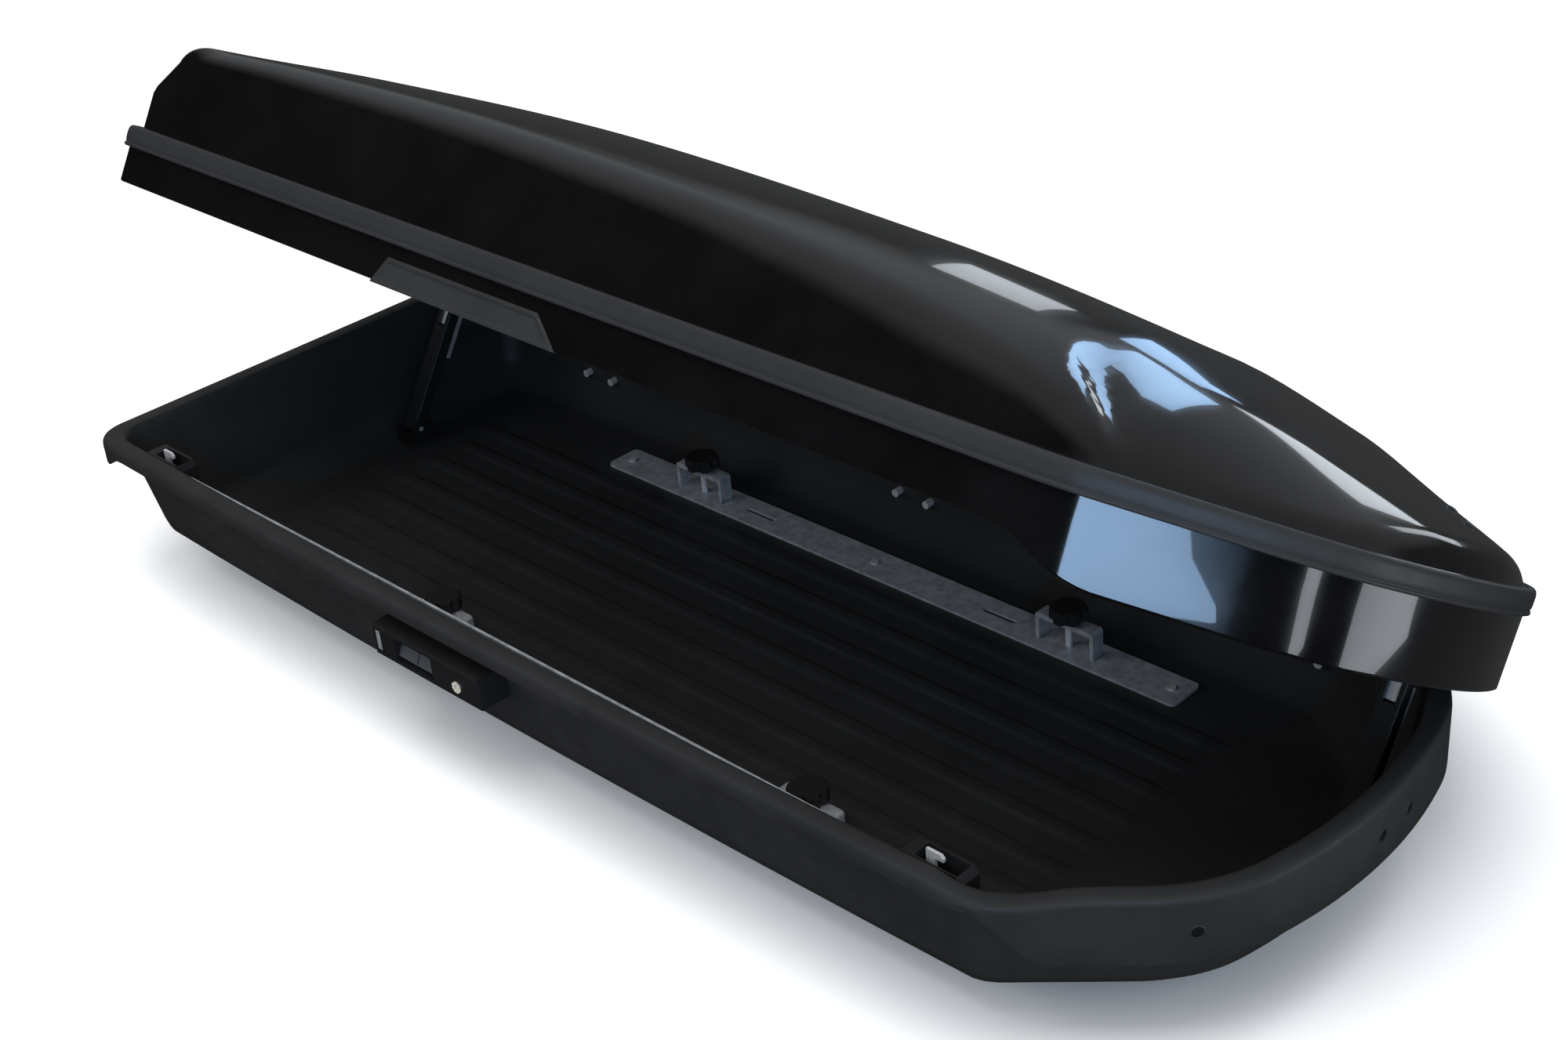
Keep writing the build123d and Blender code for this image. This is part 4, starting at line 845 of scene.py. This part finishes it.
# ---------------------------------------------------------------- stage and light

FLOOR_GREY = 0.86
FLOOR_MOTTLE = 0.995
FLOOR_GAP = 0.0005
FLOOR_HALF = 14.0
floor_z = cad_low.z - FLOOR_GAP

floor_material, floor_tree, floor_shader = node_material("floor_pale")
grain = texture(floor_tree, "ShaderNodeTexNoise", 4.0, Detail=2.0)
tone = ramp(floor_tree, grain.outputs["Fac"], [FLOOR_GREY * FLOOR_MOTTLE] * 3, [FLOOR_GREY] * 3)
floor_tree.links.new(tone.outputs["Color"], floor_shader.inputs["Base Color"])
floor_shader.inputs["Roughness"].default_value = 0.9
floor_shader.inputs["Specular IOR Level"].default_value = 0.1
mesh = bpy.data.meshes.new("floor")
half = FLOOR_HALF
corners = ((-half, -half), (half, -half), (half, half), (-half, half))
mesh.from_pydata([(*corner, floor_z) for corner in corners], [], [(0, 1, 2, 3)])
mesh.materials.append(floor_material)
floor = bpy.data.objects.new("floor", mesh)
bpy.context.scene.collection.objects.link(floor)
floor.visible_glossy = False

# Pale wall all round, which lights the box softly but is not mirrored in the lid
WALL_RADIUS = 9.0
WALL_SIDES = 64
WALL_RINGS = 16
WALL_GLOW = 0.82
WALL_SINK = 0.3

wall_material, _, wall_shader = node_material("backdrop_pale")
wall_shader.inputs["Base Color"].default_value = (0.0, 0.0, 0.0, 1)
wall_shader.inputs["Specular IOR Level"].default_value = 0.0
wall_shader.inputs["Emission Color"].default_value = (0.985, 0.99, 1.0, 1)
wall_shader.inputs["Emission Strength"].default_value = WALL_GLOW
points = []
for ring in range(WALL_RINGS):
    rise = math.pi / 2 * ring / WALL_RINGS
    for side in range(WALL_SIDES):
        turn = 2 * math.pi * side / WALL_SIDES
        flat = WALL_RADIUS * math.cos(rise)
        points.append((flat * math.cos(turn), flat * math.sin(turn),
                       floor_z - WALL_SINK + WALL_RADIUS * math.sin(rise)))
faces = ring_faces(WALL_RINGS, WALL_SIDES)
faces.append(tuple(range((WALL_RINGS - 1) * WALL_SIDES, WALL_RINGS * WALL_SIDES)))
mesh = bpy.data.meshes.new("backdrop")
mesh.from_pydata(points, [], faces)
mesh.materials.append(wall_material)
mesh.shade_smooth()
backdrop = bpy.data.objects.new("backdrop", mesh)
bpy.context.scene.collection.objects.link(backdrop)
backdrop.visible_glossy = False


def panel(name, way, distance, size, power, colour=(1, 1, 1)):
    """Soft area light, seen from the middle of the box in the direction way."""
    data = bpy.data.lights.new(name, "AREA")
    data.shape = "RECTANGLE"
    data.size, data.size_y = size
    data.energy = power
    data.color = colour
    light = bpy.data.objects.new(name, data)
    way = Vector(way).normalized()
    middle = (cad_low + cad_high) / 2
    light.location = middle + way * distance
    light.rotation_euler = way.to_track_quat("Z", "Y").to_euler()
    bpy.context.scene.collection.objects.link(light)
    return light


def unseen(light):
    """Keeps a light's own shape out of mirror-like reflections."""
    light.visible_glossy = False


unseen(panel("light_top", (0.10, -0.12, 1.0), 4.4, (4.2, 4.2), 250.0))
unseen(panel("light_left", (-0.60, -0.80, 0.45), 5.0, (3.2, 2.0), 60.0))

# Panels that the glossy lid mirrors: windows on the nose's skirt and panels on its top.
# Each has its way from the nose, its width and height, its power and its colour.
NOSE_BACK = 0.2
NOSE_HIGH = 0.45
NOSE_AT = Vector((NOSE_X * MM - NOSE_BACK, 0.0, NOSE_HIGH))
WINDOW_FAR = 4.0
SKY = (0.42, 0.66, 1.0)
PALE = (0.86, 0.93, 1.0)
WINDOWS = (
    ("window_wide", (0.66, -0.70, 0.34), (1.15, 1.3), 34.0, SKY),
    ("window_narrow", (0.97, -0.20, 0.10), (0.42, 1.6), 6.5, PALE),
    ("window_nose", (0.88, 0.40, -0.25), (1.7, 1.8), 20.0, PALE),
    ("panel_left", (-0.60, 0.80, 0.03), (0.35, 0.7), 0.7, PALE),
    ("panel_middle", (-0.42, 0.90, 0.03), (0.50, 0.7), 2.1, SKY),
    ("panel_right", (-0.24, 0.97, 0.03), (0.50, 0.7), 1.8, PALE),
    ("side_right", (-0.34, 0.89, 0.32), (0.62, 1.0), 6.0, SKY),
    ("panel_far", (0.06, 0.99, 0.06), (0.70, 1.2), 4.0, PALE),
)
for name, way, size, power, colour in WINDOWS:
    light = panel(name, way, WINDOW_FAR, size, power, colour)
    light.location = NOSE_AT + Vector(way).normalized() * WINDOW_FAR

# Room: dim all round, a little lighter behind the box, darkest in front and below
ROOM_DARK = (0.010, 0.010, 0.011)
ROOM_LIGHT = (0.34, 0.35, 0.36)
ROOM_LOW = 0.25
ROOM_BEHIND = (0.02, 0.34)
ROOM_ABOVE = (0.0, 0.16)
ROOM_STRENGTH = 0.5

world = bpy.data.worlds.new("studio")
bpy.context.scene.world = world
world.use_nodes = True
tree = world.node_tree
back = tree.nodes["Background"]
way = tree.nodes.new("ShaderNodeTexCoord")
axes = tree.nodes.new("ShaderNodeSeparateXYZ")
tree.links.new(way.outputs["Generated"], axes.inputs["Vector"])
behind = ramp(tree, axes.outputs["Y"], ROOM_DARK, ROOM_LIGHT, *ROOM_BEHIND)
above = ramp(tree, axes.outputs["Z"], [ROOM_LOW] * 3, [1.0] * 3, *ROOM_ABOVE)
both = tree.nodes.new("ShaderNodeMix")
both.data_type = "RGBA"
both.blend_type = "MULTIPLY"
both.inputs["Factor"].default_value = 1.0
tree.links.new(behind.outputs["Color"], both.inputs["A"])
tree.links.new(above.outputs["Color"], both.inputs["B"])
tree.links.new(both.outputs["Result"], back.inputs["Color"])
back.inputs["Strength"].default_value = ROOM_STRENGTH
bpy.context.scene.view_settings.view_transform = "Standard"
bpy.context.scene.view_settings.look = "None"
